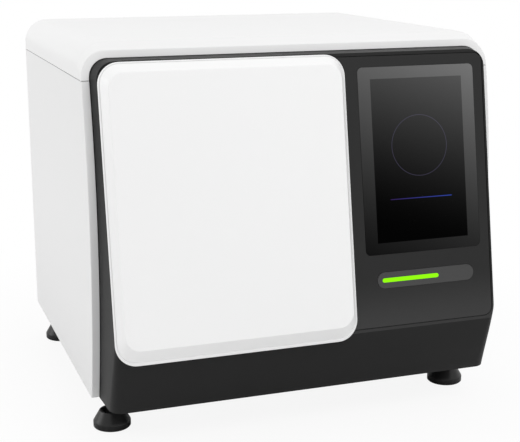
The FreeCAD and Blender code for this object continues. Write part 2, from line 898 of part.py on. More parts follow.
def lid_columns():
    columns = []
    for side in (-1, 1):
        x = stage_x + side * column_spread
        column = rod(column_radius, bridge_up, V(x, lid_y, deck_z))
        collar = rod(column_radius + 4, 6, V(x, lid_y, deck_z))
        columns.append(fuse([column, collar]))
    return group(columns)


def heated_lid():
    y0 = lid_y - lid_length / 2
    high = lid_low_z + lid_thick
    body = block(stage_x - lid_half, stage_x + lid_half, y0, y0 + lid_length, lid_low_z, high)
    ears = block(stage_x - column_spread - 12, stage_x + column_spread + 12, lid_y - 13, lid_y + 13,
                 lid_low_z + 4, high - 4)
    lug = block(stage_x - 11, stage_x + 11, lid_y, lid_screw_y + 9, lid_low_z + 4, high - 6)
    lid = fuse([body, ears, lug])
    for side in (-1, 1):
        x = stage_x + side * column_spread
        lid = lid.cut(rod(column_radius + running_fit, lid_thick, V(x, lid_y, lid_low_z)))
    lid = lid.cut(rod(lid_screw_radius + running_fit, lid_thick, V(stage_x, lid_screw_y, lid_low_z)))
    half = lid_window_half
    depth = lid_window_length / 2
    window = block(stage_x - half, stage_x + half, lid_y - depth, lid_y + depth, lid_low_z, high)
    funnel = block(stage_x - half - 6, stage_x + half + 6, lid_y - depth - 5, lid_y + depth + 5,
                   high - 5, high)
    return lid.cut(window).cut(funnel)


def lid_bridge():
    half = column_spread + 13
    bridge = block(stage_x - half, stage_x + half, lid_y - 38, lid_screw_y + 18,
                   bridge_z, bridge_z + bridge_thick)
    window = block(stage_x - lid_window_half - 8, stage_x + lid_window_half + 8, lid_y - 26, lid_y + 26,
                   bridge_z, bridge_z + bridge_thick)
    screw_hole = rod(lid_screw_radius + 1, bridge_thick, V(stage_x, lid_screw_y, bridge_z))
    bridge = bridge.cut(window).cut(screw_hole)
    for side in (-1, 1):
        x = stage_x + side * (half - 22)
        for y in (lid_y + 34, lid_screw_y + 4):
            bridge = bridge.cut(rod(6, bridge_thick, V(x, y, bridge_z)))
    return bridge


def lid_actuator():
    z = bridge_z + bridge_thick
    body = motor(stage_x, lid_screw_y, z, 26, ALONG_Z)
    screw = rod(lid_screw_radius, z - thermal_top_z() - 8, V(stage_x, lid_screw_y, thermal_top_z() + 8))
    return fuse([body, screw])


beam_z = deck_z + beam_up
pulley_z = deck_z + pulley_up
belt_y = beam_front_y - 14
carriage_y = beam_front_y - 24


def gantry_beam():
    fit = 0.3
    x0 = chamber_left + fit
    x1 = chamber_right - fit
    beam = block(x0, x1, beam_front_y, beam_front_y + beam_thick, beam_z, beam_z + beam_height)
    bore = block(x0 + 4, x1 - 4, beam_front_y + 3, beam_front_y + beam_thick - 3, beam_z + 3,
                 beam_z + beam_height - 3)
    solids = [beam.cut(bore)]
    for x in (x0, x1 - 4):
        solids.append(block(x, x + 4, beam_front_y - 16, beam_front_y + 34,
                            beam_z - 20, beam_z + beam_height + 14))
    for x in (idler_pulley_x, drive_pulley_x):
        ear = block(x - 16, x + 16, beam_front_y, beam_front_y + 6, beam_z + beam_height, pulley_z + 16)
        if x == drive_pulley_x:
            ear = ear.cut(rod(shaft_radius + 1.5, 6, V(x, beam_front_y, pulley_z), ALONG_Y))
        solids.append(ear)
    solids.append(rod(shaft_radius, 16, V(idler_pulley_x, beam_front_y - 16, pulley_z), ALONG_Y))
    return fuse(solids)


def gantry_rail():
    z = beam_z + beam_height / 2
    y1 = beam_front_y
    points = [(y1, z - 6), (y1 - 3, z - 6), (y1 - 4.5, z - 4.8), (y1 - 6, z - 6), (y1 - 8, z - 5),
              (y1 - 8, z + 5), (y1 - 6, z + 6), (y1 - 4.5, z + 4.8), (y1 - 3, z + 6), (y1, z + 6)]
    x0 = chamber_left + 12
    return polygon([V(x0, y, pz) for y, pz in points]).extrude(V(chamber_right - chamber_left - 24, 0, 0))


def belt_loop(radius):
    """Flat capsule round both pulleys, of the belt's width."""
    face = rounded(idler_pulley_x - radius, drive_pulley_x + radius, pulley_z - radius, pulley_z + radius,
                   radius - 0.001, belt_y)
    return Part.Face(face).extrude(V(0, belt_width, 0))


def gantry_belt():
    return belt_loop(pulley_radius + belt_thick).cut(belt_loop(pulley_radius))


def pulley(x):
    """Flanged belt pulley turning about y."""
    rim = rod(pulley_radius - seat_gap, belt_width + 0.6, V(x, belt_y - 0.3, pulley_z), ALONG_Y)
    flanges = [rod(pulley_radius + 2.5, 1.2, V(x, y, pulley_z), ALONG_Y)
               for y in (belt_y - 1.5, belt_y + belt_width + 0.3)]
    return fuse([rim] + flanges)


def gantry_drive_pulley():
    reach = beam_front_y + 6 - seat_gap - (belt_y - 1.5)
    shaft = rod(shaft_radius, reach, V(drive_pulley_x, belt_y - 1.5, pulley_z), ALONG_Y)
    return fuse([pulley(drive_pulley_x), shaft])


def gantry_idler_pulley():
    bore = rod(shaft_radius + running_fit, 30, V(idler_pulley_x, belt_y - 10, pulley_z), ALONG_Y)
    return pulley(idler_pulley_x).cut(bore)


def gantry_motor():
    return motor(drive_pulley_x, beam_front_y + 6, pulley_z, 30, ALONG_Y)


housing_low_z = beam_z
arm_z = housing_low_z - 24
wheel_z = arm_z + 12


def optics_carriage():
    z = beam_z + beam_height / 2
    half = housing_half + 2
    back = block(stage_x - half, stage_x + half, carriage_y, carriage_y + 8,
                 beam_z - 14, beam_z + beam_height + 14)
    runner = block(stage_x - 30, stage_x + 30, carriage_y + 8, beam_front_y - 2, z - 14, z + 14)
    slot = block(stage_x - 31, stage_x + 31, beam_front_y - 8.2, beam_front_y, z - 6.2, z + 6.2)
    low_run_z = pulley_z - pulley_radius
    clamp = block(stage_x - 10, stage_x + 10, carriage_y + 8, belt_y + belt_width + 0.3,
                  low_run_z - 9, low_run_z + 4)
    belt_way = block(stage_x - 11, stage_x + 11, belt_y - 0.3, belt_y + belt_width + 1,
                     low_run_z - belt_thick - 0.3, low_run_z + 0.3)
    return fuse([back, runner.cut(slot), clamp.cut(belt_way)])


def optics_housing():
    half = housing_half
    y0 = optics_y - 24
    wheel_x = stage_x + wheel_offset
    body = block(stage_x - half, stage_x + half, y0, carriage_y, housing_low_z, housing_low_z + 72)
    web = block(stage_x - half, stage_x + half, carriage_y - 6, carriage_y, arm_z, housing_low_z)
    arm = block(stage_x - half, stage_x + half, y0, carriage_y, arm_z, arm_z + 6)
    camera = block(stage_x - 26, stage_x + 10, y0 + 10, y0 + 46, housing_low_z + 72, housing_low_z + 98)
    wheel_motor = rod(9, 18, V(wheel_x, optics_y, housing_low_z + 72))
    housing = fuse([body, web, arm, camera, wheel_motor])
    housing = housing.cut(rod(15.1, 6, V(stage_x, optics_y, arm_z)))
    housing = housing.cut(rod(9, 10, V(stage_x, optics_y, housing_low_z)))
    housing = housing.cut(rod(shaft_radius + running_fit, 40, V(wheel_x, optics_y, arm_z - 1)))
    for row in range(8):
        z = housing_low_z + 10 + 7 * row
        housing = housing.cut(block(stage_x - half, stage_x - half + 4, y0 + 8, carriage_y - 8, z, z + 3.5))
        housing = housing.cut(block(stage_x + half - 4, stage_x + half, y0 + 8, carriage_y - 8, z, z + 3.5))
    return housing


def objective_lens():
    profile = [(9, arm_z - 22), (11, arm_z - 22), (17, arm_z - 14), (17, arm_z - 3), (20, arm_z - 3),
               (20, arm_z), (15, arm_z), (15, arm_z + 6), (9, arm_z + 6)]
    points = [V(stage_x + r, optics_y, z) for r, z in profile]
    barrel = polygon(points).revolve(V(stage_x, optics_y, 0), ALONG_Z, 360)
    glass = rod(9, 3, V(stage_x, optics_y, arm_z - 20))
    return fuse([barrel, glass])


def filter_places():
    wheel_x = stage_x + wheel_offset
    places = []
    for index in range(filter_count):
        angle = math.pi + 2 * math.pi * index / filter_count
        places.append((wheel_x + wheel_offset * math.cos(angle), optics_y + wheel_offset * math.sin(angle)))
    return places


def filter_wheel():
    wheel_x = stage_x + wheel_offset
    disc = rod(wheel_radius, wheel_thick, V(wheel_x, optics_y, wheel_z))
    hub = rod(7, 11.4, V(wheel_x, optics_y, arm_z + 6 + seat_gap))
    shaft = rod(shaft_radius, 34, V(wheel_x, optics_y, arm_z + 1))
    wheel = fuse([disc, hub, shaft])
    for x, y in filter_places():
        wheel = wheel.cut(rod(filter_radius, wheel_thick, V(x, y, wheel_z)))
    return wheel


def filter_glasses():
    discs = [rod(filter_radius, 2.5, V(x, y, wheel_z + 1.2)) for x, y in filter_places()]
    return group(discs)


def chassis_side(side):
    """Bent sheet side: web with windows, flanges at front, back and top, and a rail under the cover."""
    x1 = chassis_half
    x0 = x1 - sheet
    low = base_z + sheet + 0.3
    web = block(x0, x1, chassis_front_y, chassis_back_y, low, chassis_top_z)
    solids = [web]
    inner = x1 - chassis_flange
    solids.append(block(inner, x1, chassis_front_y, chassis_front_y + sheet, low + tray_rim, chassis_top_z))
    solids.append(block(inner, x1, chassis_back_y - sheet, chassis_back_y, low + tray_rim, chassis_top_z))
    shelf_inner = half_width - cover_corner - rail_width
    solids.append(block(shelf_inner, x1, chassis_front_y + 12, chassis_back_y - 5,
                        chassis_top_z - sheet, chassis_top_z))
    rail_x1 = shelf_inner + rail_width
    rail = block(shelf_inner, rail_x1, chassis_front_y + 14, chassis_back_y - 6, chassis_top_z,
                 chassis_top_z + rail_height)
    hollow = block(shelf_inner + sheet, rail_x1 - sheet, chassis_front_y + 13, chassis_back_y - 5,
                   chassis_top_z, chassis_top_z + rail_height - sheet)
    solids.append(rail.cut(hollow))
    frame = fuse(solids)
    middle_y = (chassis_front_y + chassis_back_y) / 2
    middle_z = (base_z + chassis_top_z) / 2
    for y0, y1 in ((chassis_front_y + window_edge, middle_y - window_bar),
                   (middle_y + window_bar, chassis_back_y - window_edge)):
        for z0, z1 in ((base_z + window_sill, middle_z - window_bar),
                       (middle_z + window_bar, chassis_top_z - window_edge)):
            frame = frame.cut(block(x0 - 1, x1 + 1, y0, y1, z0, z1))
    return frame if side > 0 else mirror_x(frame)


def foot_places():
    return [(-foot_x, foot_front_y), (foot_x, foot_front_y), (-foot_x, foot_back_y), (foot_x, foot_back_y)]


def base_tray():
    half = chassis_half - sheet - 0.2
    y0 = fascia_back_y + seat_gap
    y1 = rear_panel_y - seat_gap
    outer = block(-half, half, y0, y1, base_z, base_z + sheet + tray_rim)
    inner = block(-half + sheet, half - sheet, y0 + sheet, y1 - sheet, base_z + sheet, base_z + 2 * tray_rim)
    tray = outer.cut(inner)
    for x, y in foot_places():
        tray = tray.fuse(rod(boss_radius, boss_height, V(x, y, base_z)))
    for x, y in foot_places():
        tray = tray.cut(rod(foot_stud_radius + running_fit, boss_height + 1, V(x, y, base_z)))
    for row in range(6):
        for column in range(3):
            x = -60 + 60 * column
            y = shell_depth / 2 - 76 + 14 * row
            slot = block(x - 22, x + 22, y, y + 5, base_z, base_z + sheet)
            tray = tray.cut(slot)
    return tray


def levelling_foot(index):
    """Cone foot with a rim, a hollow top, a hexagon for the spanner and a stud up into the base."""
    x, y = foot_places()[index]
    rim = foot_rim_radius
    cone = foot_cone_radius
    high = foot_cone_height
    profile = [(0, 0), (rim - 1.5, 0), (rim, 1.5), (rim, foot_rim_height), (cone, high), (cone - 2.5, high),
               (cone - 5, high - 5), (0, high - 5)]
    body = polygon([V(x + r, y, z) for r, z in profile]).revolve(V(x, y, 0), ALONG_Z, 360)
    corners = [V(x + 7.5 * math.cos(math.radians(60 * k)), y + 7.5 * math.sin(math.radians(60 * k)),
                 foot_cone_height - 5) for k in range(6)]
    hexagon = polygon(corners).extrude(V(0, 0, 12))
    stud_top = base_z + boss_height + foot_travel - stud_margin
    stud = rod(foot_stud_radius, stud_top - foot_cone_height, V(x, y, foot_cone_height))
    return fuse([body, hexagon, stud])


def divider():
    """Bulkhead between chamber and electronics, with the shelf that the chamber liner stands on."""
    shelf_z = chamber_floor_z - liner_gauge - 0.3
    low = base_z + sheet + 0.3
    wall_sheet = block(divider_x, divider_x + sheet, chassis_front_y + 4, chassis_back_y - 4,
                       low, chassis_top_z - 4)
    shelf = block(-chassis_half + sheet + 0.3, divider_x, chassis_front_y + 4, chassis_back_y - 4,
                  shelf_z - sheet, shelf_z)
    skirt = block(-chassis_half + sheet + 0.3, sheet * 2 - chassis_half + 0.3, chassis_front_y + 4,
                  chassis_back_y - 4, low + tray_rim + 4, shelf_z - sheet)
    panel = fuse([wall_sheet, shelf, skirt])
    last_y = chassis_back_y - window_edge - bulkhead_window
    for y0 in (last_y - bulkhead_bar - bulkhead_window, last_y):
        panel = panel.cut(block(divider_x - 1, divider_x + sheet + 1, y0, y0 + bulkhead_window,
                                board_low_z, board_low_z + board_height))
    return panel


def main_board():
    """Board on four stand-offs, with a finned heat sink and three upright memory modules."""
    x0 = divider_x + sheet
    face = x0 + stand_off + board_thick
    y0 = board_front_y
    y1 = y0 + board_length
    z0 = board_low_z
    z1 = z0 + board_height
    solids = [block(x0 + stand_off, face, y0, y1, z0, z1)]
    for y in (y0 + 8, y1 - 8):
        for z in (z0 + 8, z1 - 8):
            solids.append(rod(3, stand_off, V(x0, y, z), ALONG_X))
    sink_y = y0 + 50
    sink_z = z1 - 2 * sink_side
    sink = [block(face, face + sink_base, sink_y, sink_y + sink_side, sink_z, sink_z + sink_side)]
    for fin in range(9):
        y = sink_y + 1 + fin_pitch * fin
        root = face + sink_base
        sink.append(block(root, root + fin_height, y, y + 2, sink_z, sink_z + sink_side))
    solids.append(fuse(sink))
    for rise in (20, 40, 60):
        solids.append(block(face, face + memory_height, y0 + 20, y1 - 25, z0 + rise, z0 + rise + 7))
    return fuse(solids)


def power_supply():
    low = base_z + sheet
    high = low + supply_height
    x1 = half_width - supply_inset
    x0 = x1 - supply_width
    y1 = rear_panel_y - supply_back_gap
    y0 = y1 - supply_length
    case = block(x0, x1, y0, y1, low, high)
    for row in range(8):
        y = y0 + 12 + 9 * row
        case = case.cut(block(x0 + 10, x1 - 10, y, y + 4, high - 4, high))
    terminal = block(x0 + 24, x1 - 20, y1, y1 + terminal_reach, low + 8, low + 26)
    return fuse([case, terminal])


def fan_frame(x):
    y1 = rear_panel_y - 0.2
    y0 = y1 - fan_depth
    half = fan_size / 2
    frame = plate(x - half, x + half, fan_z - half, fan_z + half, 5, y0, y1)
    frame = frame.cut(rod(fan_bore, fan_depth, V(x, y0, fan_z), ALONG_Y))
    solids = [frame, rod(fan_hub, 3, V(x, y0, fan_z), ALONG_Y)]
    for turn in range(4):
        arm = block(fan_hub - 2, fan_bore + 1.5, y0, y0 + 3, -2, 2)
        arm.rotate(V(0, 0, 0), ALONG_Y, 45 + 90 * turn)
        arm.translate(V(x, 0, fan_z))
        solids.append(arm)
    solids.append(rod(fan_spindle, fan_depth - 5, V(x, y0, fan_z), ALONG_Y))
    frame = fuse(solids)
    for dx in (-1, 1):
        for dz in (-1, 1):
            frame = frame.cut(rod(2.2, fan_depth, V(x + dx * 35.75, y0, fan_z + dz * 35.75), ALONG_Y))
    return frame


def fan_rotor(x):
    """Hub with pitched blades, each a thin plate set at an angle and cut to the tip circle."""
    y0 = rear_panel_y - 0.2 - fan_depth + 4
    length = fan_depth - 7
    hub = rod(fan_hub, length, V(x, y0, fan_z), ALONG_Y)
    solids = [hub]
    for index in range(fan_blades):
        blade = block(fan_hub - 3, fan_tip + 2, -0.8, 0.8, -11, 11)
        blade.rotate(V(0, 0, 0), ALONG_X, 48)
        blade.rotate(V(0, 0, 0), ALONG_Y, 360 * index / fan_blades)
        blade.translate(V(x, y0 + length / 2, fan_z))
        solids.append(blade)
    limit = rod(fan_tip, length, V(x, y0, fan_z), ALONG_Y)
    rotor = fuse(solids).common(limit)
    return rotor.cut(rod(fan_spindle + running_fit, fan_depth, V(x, y0, fan_z), ALONG_Y))


def fan_guards():
    guards = []
    y0 = rear_inner_y - 0.2
    for x in fan_xs:
        rings = [tube(radius, radius - 1.6, 1.6, V(x, y0, fan_z), ALONG_Y) for radius in (38, 29, 20, 11)]
        for turn in range(2):
            bar = block(-49, 49, y0, y0 + 1.6, -1, 1)
            bar.rotate(V(0, 0, 0), ALONG_Y, 45 + 90 * turn)
            bar.translate(V(x, 0, fan_z))
            rings.append(bar)
        for dx in (-1, 1):
            for dz in (-1, 1):
                rings.append(rod(4.5, 1.6, V(x + dx * 35.75, y0, fan_z + dz * 35.75), ALONG_Y))
        guards.append(fuse(rings))
    return group(guards)


def screw_places():
    edge = ring_half - 8
    places = []
    for z in screw_heights:
        places += [(-edge, z), (edge, z)]
    for x in screw_row:
        places.append((x, base_z + 14))
    return places


def rear_panel():
    inset = wall + seat_gap
    outline = arch(half_width - inset, panel_bottom_z, top_z - inset, cover_corner - inset,
                   lambda x, z: V(x, rear_panel_y, z))
    panel = Part.Face(outline).extrude(V(0, rear_gauge, 0))
    low_half = half_width - cover_corner
    y0 = rear_panel_y
    for x in fan_xs:
        panel = panel.cut(rod(fan_bore, rear_gauge, V(x, y0, fan_z), ALONG_Y))
    for x, z in screw_places():
        panel = panel.cut(rod(2, rear_gauge, V(x, y0, z), ALONG_Y))
    for x0 in (-low_half + 40, low_half - 132):
        for row in range(9):
            for column in range(2):
                x = x0 + 48 * column
                z = seam_z - exhaust_down + 8 * row
                panel = panel.cut(block(x, x + 42, y0, y0 + rear_gauge, z, z + 3.5))
    vent_x = vent_inset - half_width
    for row in range(10):
        z = vent_low_z + 8 * row
        panel = panel.cut(block(vent_x, vent_x + vent_width, y0, y0 + rear_gauge, z, z + 3.5))
    x0, x1, low, high = inlet_outline()
    panel = panel.cut(block(x0 - 1, x1 + 1, y0, y0 + rear_gauge, low - 1, high + 1))
    for x, width, low, high in port_places():
        half = width / 2 + seat_gap
        panel = panel.cut(block(x - half, x + half, y0, y0 + rear_gauge, low - seat_gap, high + seat_gap))
    return panel


def rear_screws():
    screws = []
    face = rear_panel_y + rear_gauge
    for x, z in screw_places():
        head = rod(3.8, 2.0, V(x, face, z), ALONG_Y)
        shank = rod(2, rear_gauge, V(x, rear_panel_y, z), ALONG_Y)
        screws.append(fuse([head, shank]))
    return group(screws)


def inlet_outline():
    """Left, right, low and high edges of the inlet's body."""
    low = inlet_z - inlet_margin_low
    high = rocker_z + inlet_margin_high
    return inlet_x - inlet_half, inlet_x + inlet_half, low, high


def power_inlet():
    face = rear_panel_y + rear_gauge
    x0, x1, low, high = inlet_outline()
    flange = plate(x0 - inlet_rim, x1 + inlet_rim, low - inlet_rim, high + inlet_rim, inlet_rim - 1,
                   face, face + inlet_rim_thick)
    body = block(x0, x1, face - inlet_deep, face, low, high)
    inlet = fuse([flange, body])
    points = [(-12, -8), (12, -8), (12, 4), (8, 8), (-8, 8), (-12, 4)]
    mouth = polygon([V(inlet_x + px, face - mouth_deep, inlet_z + pz) for px, pz in points])
    mouth = mouth.extrude(V(0, 2 * mouth_deep, 0))
    inlet = inlet.cut(mouth)
    for px, pz in ((-7, -2), (0, 3), (7, -2)):
        inlet = inlet.fuse(block(inlet_x + px - 1, inlet_x + px + 1, face - mouth_deep, face - 1, inlet_z + pz - 2,
                                 inlet_z + pz + 2))
    low = rocker_z - rocker_pocket_half
    high = rocker_z + rocker_pocket_half
    half = rocker_half_long + 1
    pocket = block(inlet_x - half, inlet_x + half, face - 12, face + 5, low, high)
    reach = trunnion_reach + seat_gap
    bore_foot = V(inlet_x, rocker_pivot_y, low - reach)
    bores = rod(trunnion_radius + running_fit, high - low + 2 * reach, bore_foot)
    return inlet.cut(pocket).cut(bores)


rocker_pivot_y = rear_panel_y + rear_gauge - 4.0


def power_rocker():
    """Rocker cap on two trunnions: a shallow vee seen from the side, tipped to its off position."""
    half_long = rocker_half_long
    half_wide = rocker_half_wide
    front = rocker_pivot_y + 5.4
    points = [(-half_long, front), (0, front - 1.6), (half_long, front), (half_long - 2, rocker_pivot_y - 3),
              (2 - half_long, rocker_pivot_y - 3)]
    outline = polygon([V(inlet_x + px, py, rocker_z - half_wide) for px, py in points])
    cap = outline.extrude(V(0, 0, 2 * half_wide))
    cap.rotate(V(inlet_x, rocker_pivot_y, rocker_z), ALONG_Z, -rocker_tilt)
    half_pin = rocker_pocket_half + trunnion_reach
    return fuse([cap, rod(trunnion_radius, 2 * half_pin, V(inlet_x, rocker_pivot_y, rocker_z - half_pin))])


def port_places():
    """x, width, low z and high z of each data socket."""
    usb_x = half_width - usb_inset
    network_x = half_width - network_inset
    network_z = port_z + 2
    return [(usb_x, usb_width, port_z, port_z + usb_height),
            (usb_x, usb_width, port_z + usb_pitch, port_z + usb_pitch + usb_height),
            (network_x, network_width, network_z, network_z + network_height)]


def data_ports():
    face = rear_panel_y + rear_gauge
    ports = []
    for x, width, low, high in port_places():
        shell = block(x - width / 2, x + width / 2, face - 14, face + 1, low, high)
        mouth = block(x - width / 2 + 0.8, x + width / 2 - 0.8, face - 11, face + 2, low + 0.8, high - 0.8)
        tongue_z = low + 1.8
        tongue = block(x - width / 2 + 2, x + width / 2 - 2, face - 11, face - 1, tongue_z, tongue_z + 1.2)
        ports.append(fuse([shell.cut(mouth), tongue]))
    x0 = half_width - usb_inset - port_board_margin
    x1 = half_width - network_inset + port_board_margin
    low = port_z - 6
    board = block(x0, x1, face - 17, face - 14, low, port_z + usb_pitch + usb_height + 6)
    ports.append(fuse([board, block(x0, x1, rear_panel_y - 20, rear_panel_y - 0.2, low - 2, low)]))
    return group(ports)


parts = {
    "base_tray": base_tray(),
    "chassis_left": chassis_side(-1),
    "chassis_right": chassis_side(1),
    "divider": divider(),
    "left_side_panel": side_panel(-1),
    "right_side_panel": side_panel(1),
    "top_cover": top_cover(),
    "rear_panel": rear_panel(),
    "fascia_frame": fascia_frame(),
    "fascia_panel": fascia_panel(),
    "touch_glass": touch_glass(),
    "display_panel": display_panel(),
    "status_trim": status_trim(),
    "status_light_pipe": status_light_pipe(),
    "door_skin": door_skin(),
    "door_liner": door_liner(),
    "door_seal": door_seal(),
    "door_strikes": door_strikes(),
    "door_magnets": door_magnets(),
    "hinge_door_leaves": hinge_door_leaves(),
    "hinge_fixed_leaves": hinge_fixed_leaves(),
    "chamber_liner": chamber_liner(),
    "deck_plate": deck_plate(),
    "stage_rails": stage_rails(),
    "stage_carriage": stage_carriage(),
    "thermal_block": thermal_block(),
    "chip_nest": chip_nest(),
    "sample_chips": sample_chips(),
    "stage_screw": stage_screw(),
    "screw_bearings": screw_bearings(),
    "stage_motor": stage_motor(),
    "lid_columns": lid_columns(),
    "heated_lid": heated_lid(),
    "lid_bridge": lid_bridge(),
    "lid_actuator": lid_actuator(),
    "gantry_beam": gantry_beam(),
    "gantry_rail": gantry_rail(),
    "gantry_belt": gantry_belt(),
    "gantry_drive_pulley": gantry_drive_pulley(),
    "gantry_idler_pulley": gantry_idler_pulley(),
    "gantry_motor": gantry_motor(),
    "optics_carriage": optics_carriage(),
    "optics_housing": optics_housing(),
    "objective_lens": objective_lens(),
    "filter_wheel": filter_wheel(),
    "filter_glasses": filter_glasses(),
    "main_board": main_board(),
    "power_supply": power_supply(),
    "fan_frames": group([fan_frame(x) for x in fan_xs]),
    "fan_rotor_left": fan_rotor(fan_left_x),
    "fan_rotor_right": fan_rotor(fan_right_x),
    "fan_guards": fan_guards(),
    "rear_screws": rear_screws(),
    "power_inlet": power_inlet(),
    "power_rocker": power_rocker(),
    "data_ports": data_ports(),
    "foot_front_left": levelling_foot(0),
    "foot_front_right": levelling_foot(1),
    "foot_back_left": levelling_foot(2),
    "foot_back_right": levelling_foot(3),
}

# The middle of the whole depth, from the door's nose to the shell's rear edge, becomes y = 0.
door_nose_y = min(vertex.Y for vertex in parts["door_skin"].Vertexes)
to_middle = -(shell_depth + door_nose_y) / 2

os.makedirs("parts", exist_ok=True)
for name, shape in parts.items():
    shape.translate(V(0, to_middle, 0))
    shape.exportStep("parts/" + name + ".step")

hinge_axis = fascia_point(0, hinge_axis_in, hinge_axis_up)
axes = {
    "door hinge, along x": hinge_axis,
    "stage screw, along y": V(stage_x, 0, deck_z + screw_up),
    "drive pulley, along y": V(drive_pulley_x, 0, pulley_z),
    "idler pulley, along y": V(idler_pulley_x, 0, pulley_z),
    "filter wheel, along z": V(stage_x + wheel_offset, optics_y, 0),
    "left fan, along y": V(fan_left_x, 0, fan_z),
    "right fan, along y": V(fan_right_x, 0, fan_z),
    "mains rocker, along z": V(inlet_x, rocker_pivot_y, 0),
}
print(len(parts), "parts, moved in y by", round(to_middle, 3))
for name, place in axes.items():
    print(name, [round(value, 3) for value in (place.x, place.y + to_middle, place.z)])
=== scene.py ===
import json
import math

import bmesh
import bpy
import numpy as np
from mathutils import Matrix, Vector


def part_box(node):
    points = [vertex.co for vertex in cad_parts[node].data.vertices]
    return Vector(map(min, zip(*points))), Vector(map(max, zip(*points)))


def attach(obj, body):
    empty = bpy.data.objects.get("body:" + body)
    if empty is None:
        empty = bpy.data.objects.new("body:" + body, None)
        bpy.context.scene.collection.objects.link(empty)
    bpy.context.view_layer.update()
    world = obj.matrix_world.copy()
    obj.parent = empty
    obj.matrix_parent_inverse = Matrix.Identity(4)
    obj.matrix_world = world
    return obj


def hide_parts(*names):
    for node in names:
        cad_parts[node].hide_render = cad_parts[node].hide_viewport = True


# Dressing of a bench-top digital PCR machine: smooth shell mouldings, a soft-edged door, the leaning black
# fascia with its screen, the parts behind the door, and a white studio. Metres, z up, front towards -y.

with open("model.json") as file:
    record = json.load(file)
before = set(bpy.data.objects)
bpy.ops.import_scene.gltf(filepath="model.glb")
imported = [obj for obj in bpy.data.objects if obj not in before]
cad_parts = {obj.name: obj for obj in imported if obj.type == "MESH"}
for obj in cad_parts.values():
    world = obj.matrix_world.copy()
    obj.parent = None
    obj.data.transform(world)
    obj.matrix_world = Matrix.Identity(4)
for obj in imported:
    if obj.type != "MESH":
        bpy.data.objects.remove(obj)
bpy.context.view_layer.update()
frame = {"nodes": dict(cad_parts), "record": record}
record = frame["record"]
body_of = {node: body for body, nodes in record["behaviour"]["bodies"].items() for node in nodes}

# Shell, read from the frame
cover_low, cover_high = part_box("top_cover")
panel_low, panel_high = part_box("right_side_panel")
half_width = cover_high.x
rear_y = cover_high.y
top_z = cover_high.z
panel_bottom = panel_low.z
panel_top = panel_high.z
cover_bottom = cover_low.z
seam_z = (panel_top + cover_bottom) / 2

# Shell, the bowed front and the brow
shell_depth = 0.452
front_y = rear_y - shell_depth
wall = 0.003
bow_depth = 0.0234
bow_toe = 0.0046
cover_corner = 0.034
ring_width = 0.0105
ring_corner = 0.024
brow_drop = 0.0095
ring_top_width = 0.0095
brow_reach = 0.026
nose_reach = 0.004
nose_flank = 0.0009
rear_flange = 0.0105
# Inset and play of the strip of painted shade in the seam
seam_inset = 0.0009
seam_play = 0.00005

# Shell, radii of its soft edges
ring_edge = 0.0006
brow_edge = 0.0010
brow_top_edge = 0.0022
side_front_edge = 0.0014
rear_edge = 0.0012
flange_edge = 0.0005

# Fascia: a plane that leans back, measured as x, depth into the machine and distance up the slope
fascia_lean = math.radians(9.94)
fascia_proud = 0.0194
crease_up = -0.3449
glow_layer = 0.0012

# Painted sheen on the black faces, paler towards the crease: its grey level, its reach up from the crease on
# the frame and on the panel, and how far it runs on behind the door
crease_sheen_level = 48
frame_sheen_reach = 0.060
panel_sheen_reach = 0.075
sheen_behind_door = 0.03

# Door, from its outline inwards
door_left = -0.2669
door_right = 0.0600
door_top = 0.0240
door_bottom = -0.3526
door_corner = 0.028
lip_back = -0.0004
rim_back = -0.0018
lip_front = -0.0034
door_face = -0.0164
liner_seat = -0.00302
seat_inset = 0.0025
lip_slope = 0.0010
lip_slope_bottom = 0.0032
lip_ledge = 0.0018
lip_ledge_bottom = 0.0040
groove_width = 0.0010
groove_depth = 0.0007
field_side = 0.0106
field_top = 0.0132
field_bottom = 0.0206
field_corner = 0.020
flat_start = 0.008
flat_end = 0.010
# Strip of painted shade behind the lip: its inset at the lip's edge and inside, and its clearance from the
# fascia
gap_shade_outer = 0.0003
gap_shade_inner = 0.0040
gap_shade_clearance = 0.0003

# Door, radii of its soft edges
rim_edge = 0.0003
lip_edge = 0.0005
ledge_edge = 0.0003
field_edge = 0.0009

# Edge rounding of the frame's own forms
moulding_edge = 0.0004
trim_edge = 0.0003
foot_edge = 0.0005
inner_edge = 0.00025

# Joining of a node's loose triangles: how close two corners lie, and how flat two faces, to become one
join_distance = 0.000003
flat_angle = math.radians(0.05)

# Screen, in x and in distance up the slope
picture_left = 0.0962
picture_right = 0.2310
picture_bottom = -0.2279
picture_top = -0.01025
ring_x = 0.1640
ring_up = -0.1005
ring_radius = 0.0406
ring_half_line = 0.0003
line_up = -0.1708
line_low = 0.1180
line_high = 0.2090
line_half = 0.0005

# Softness of what is drawn on the screen
picture_blur = 0.0004
line_blur = 0.0006
line_fade = 0.002

# Washes of the screen, painted reflection over a dim grey of its own: level at the picture's lower left
# corner, rise to its top and drift to its right
glass_reflection_wash = (23, 66, 17)
picture_reflection_wash = (-18, 82, 17)

# From the screen level of a grey to its light: the levels in use, what is added first, and the power
level_range = 269
level_lift = 14
level_power = 2.4

# Light of the ring and of the two ends of the line
ring_violet = (0.045, 0.040, 0.075, 1)
line_violet = (0.035, 0.014, 0.095, 1)
line_blue = (0.026, 0.061, 0.40, 1)


# Shapes

def on_fascia(x, depth, up):
    """Points of the leaning plane: y and z are depth and up turned by the lean, x stays."""
    y = depth * math.cos(fascia_lean) + up * math.sin(fascia_lean) - fascia_proud + front_y
    z = up * math.cos(fascia_lean) - depth * math.sin(fascia_lean) + seam_z
    x, y, z = np.broadcast_arrays(x, y, z)
    return np.stack([x, y, z], axis=-1)


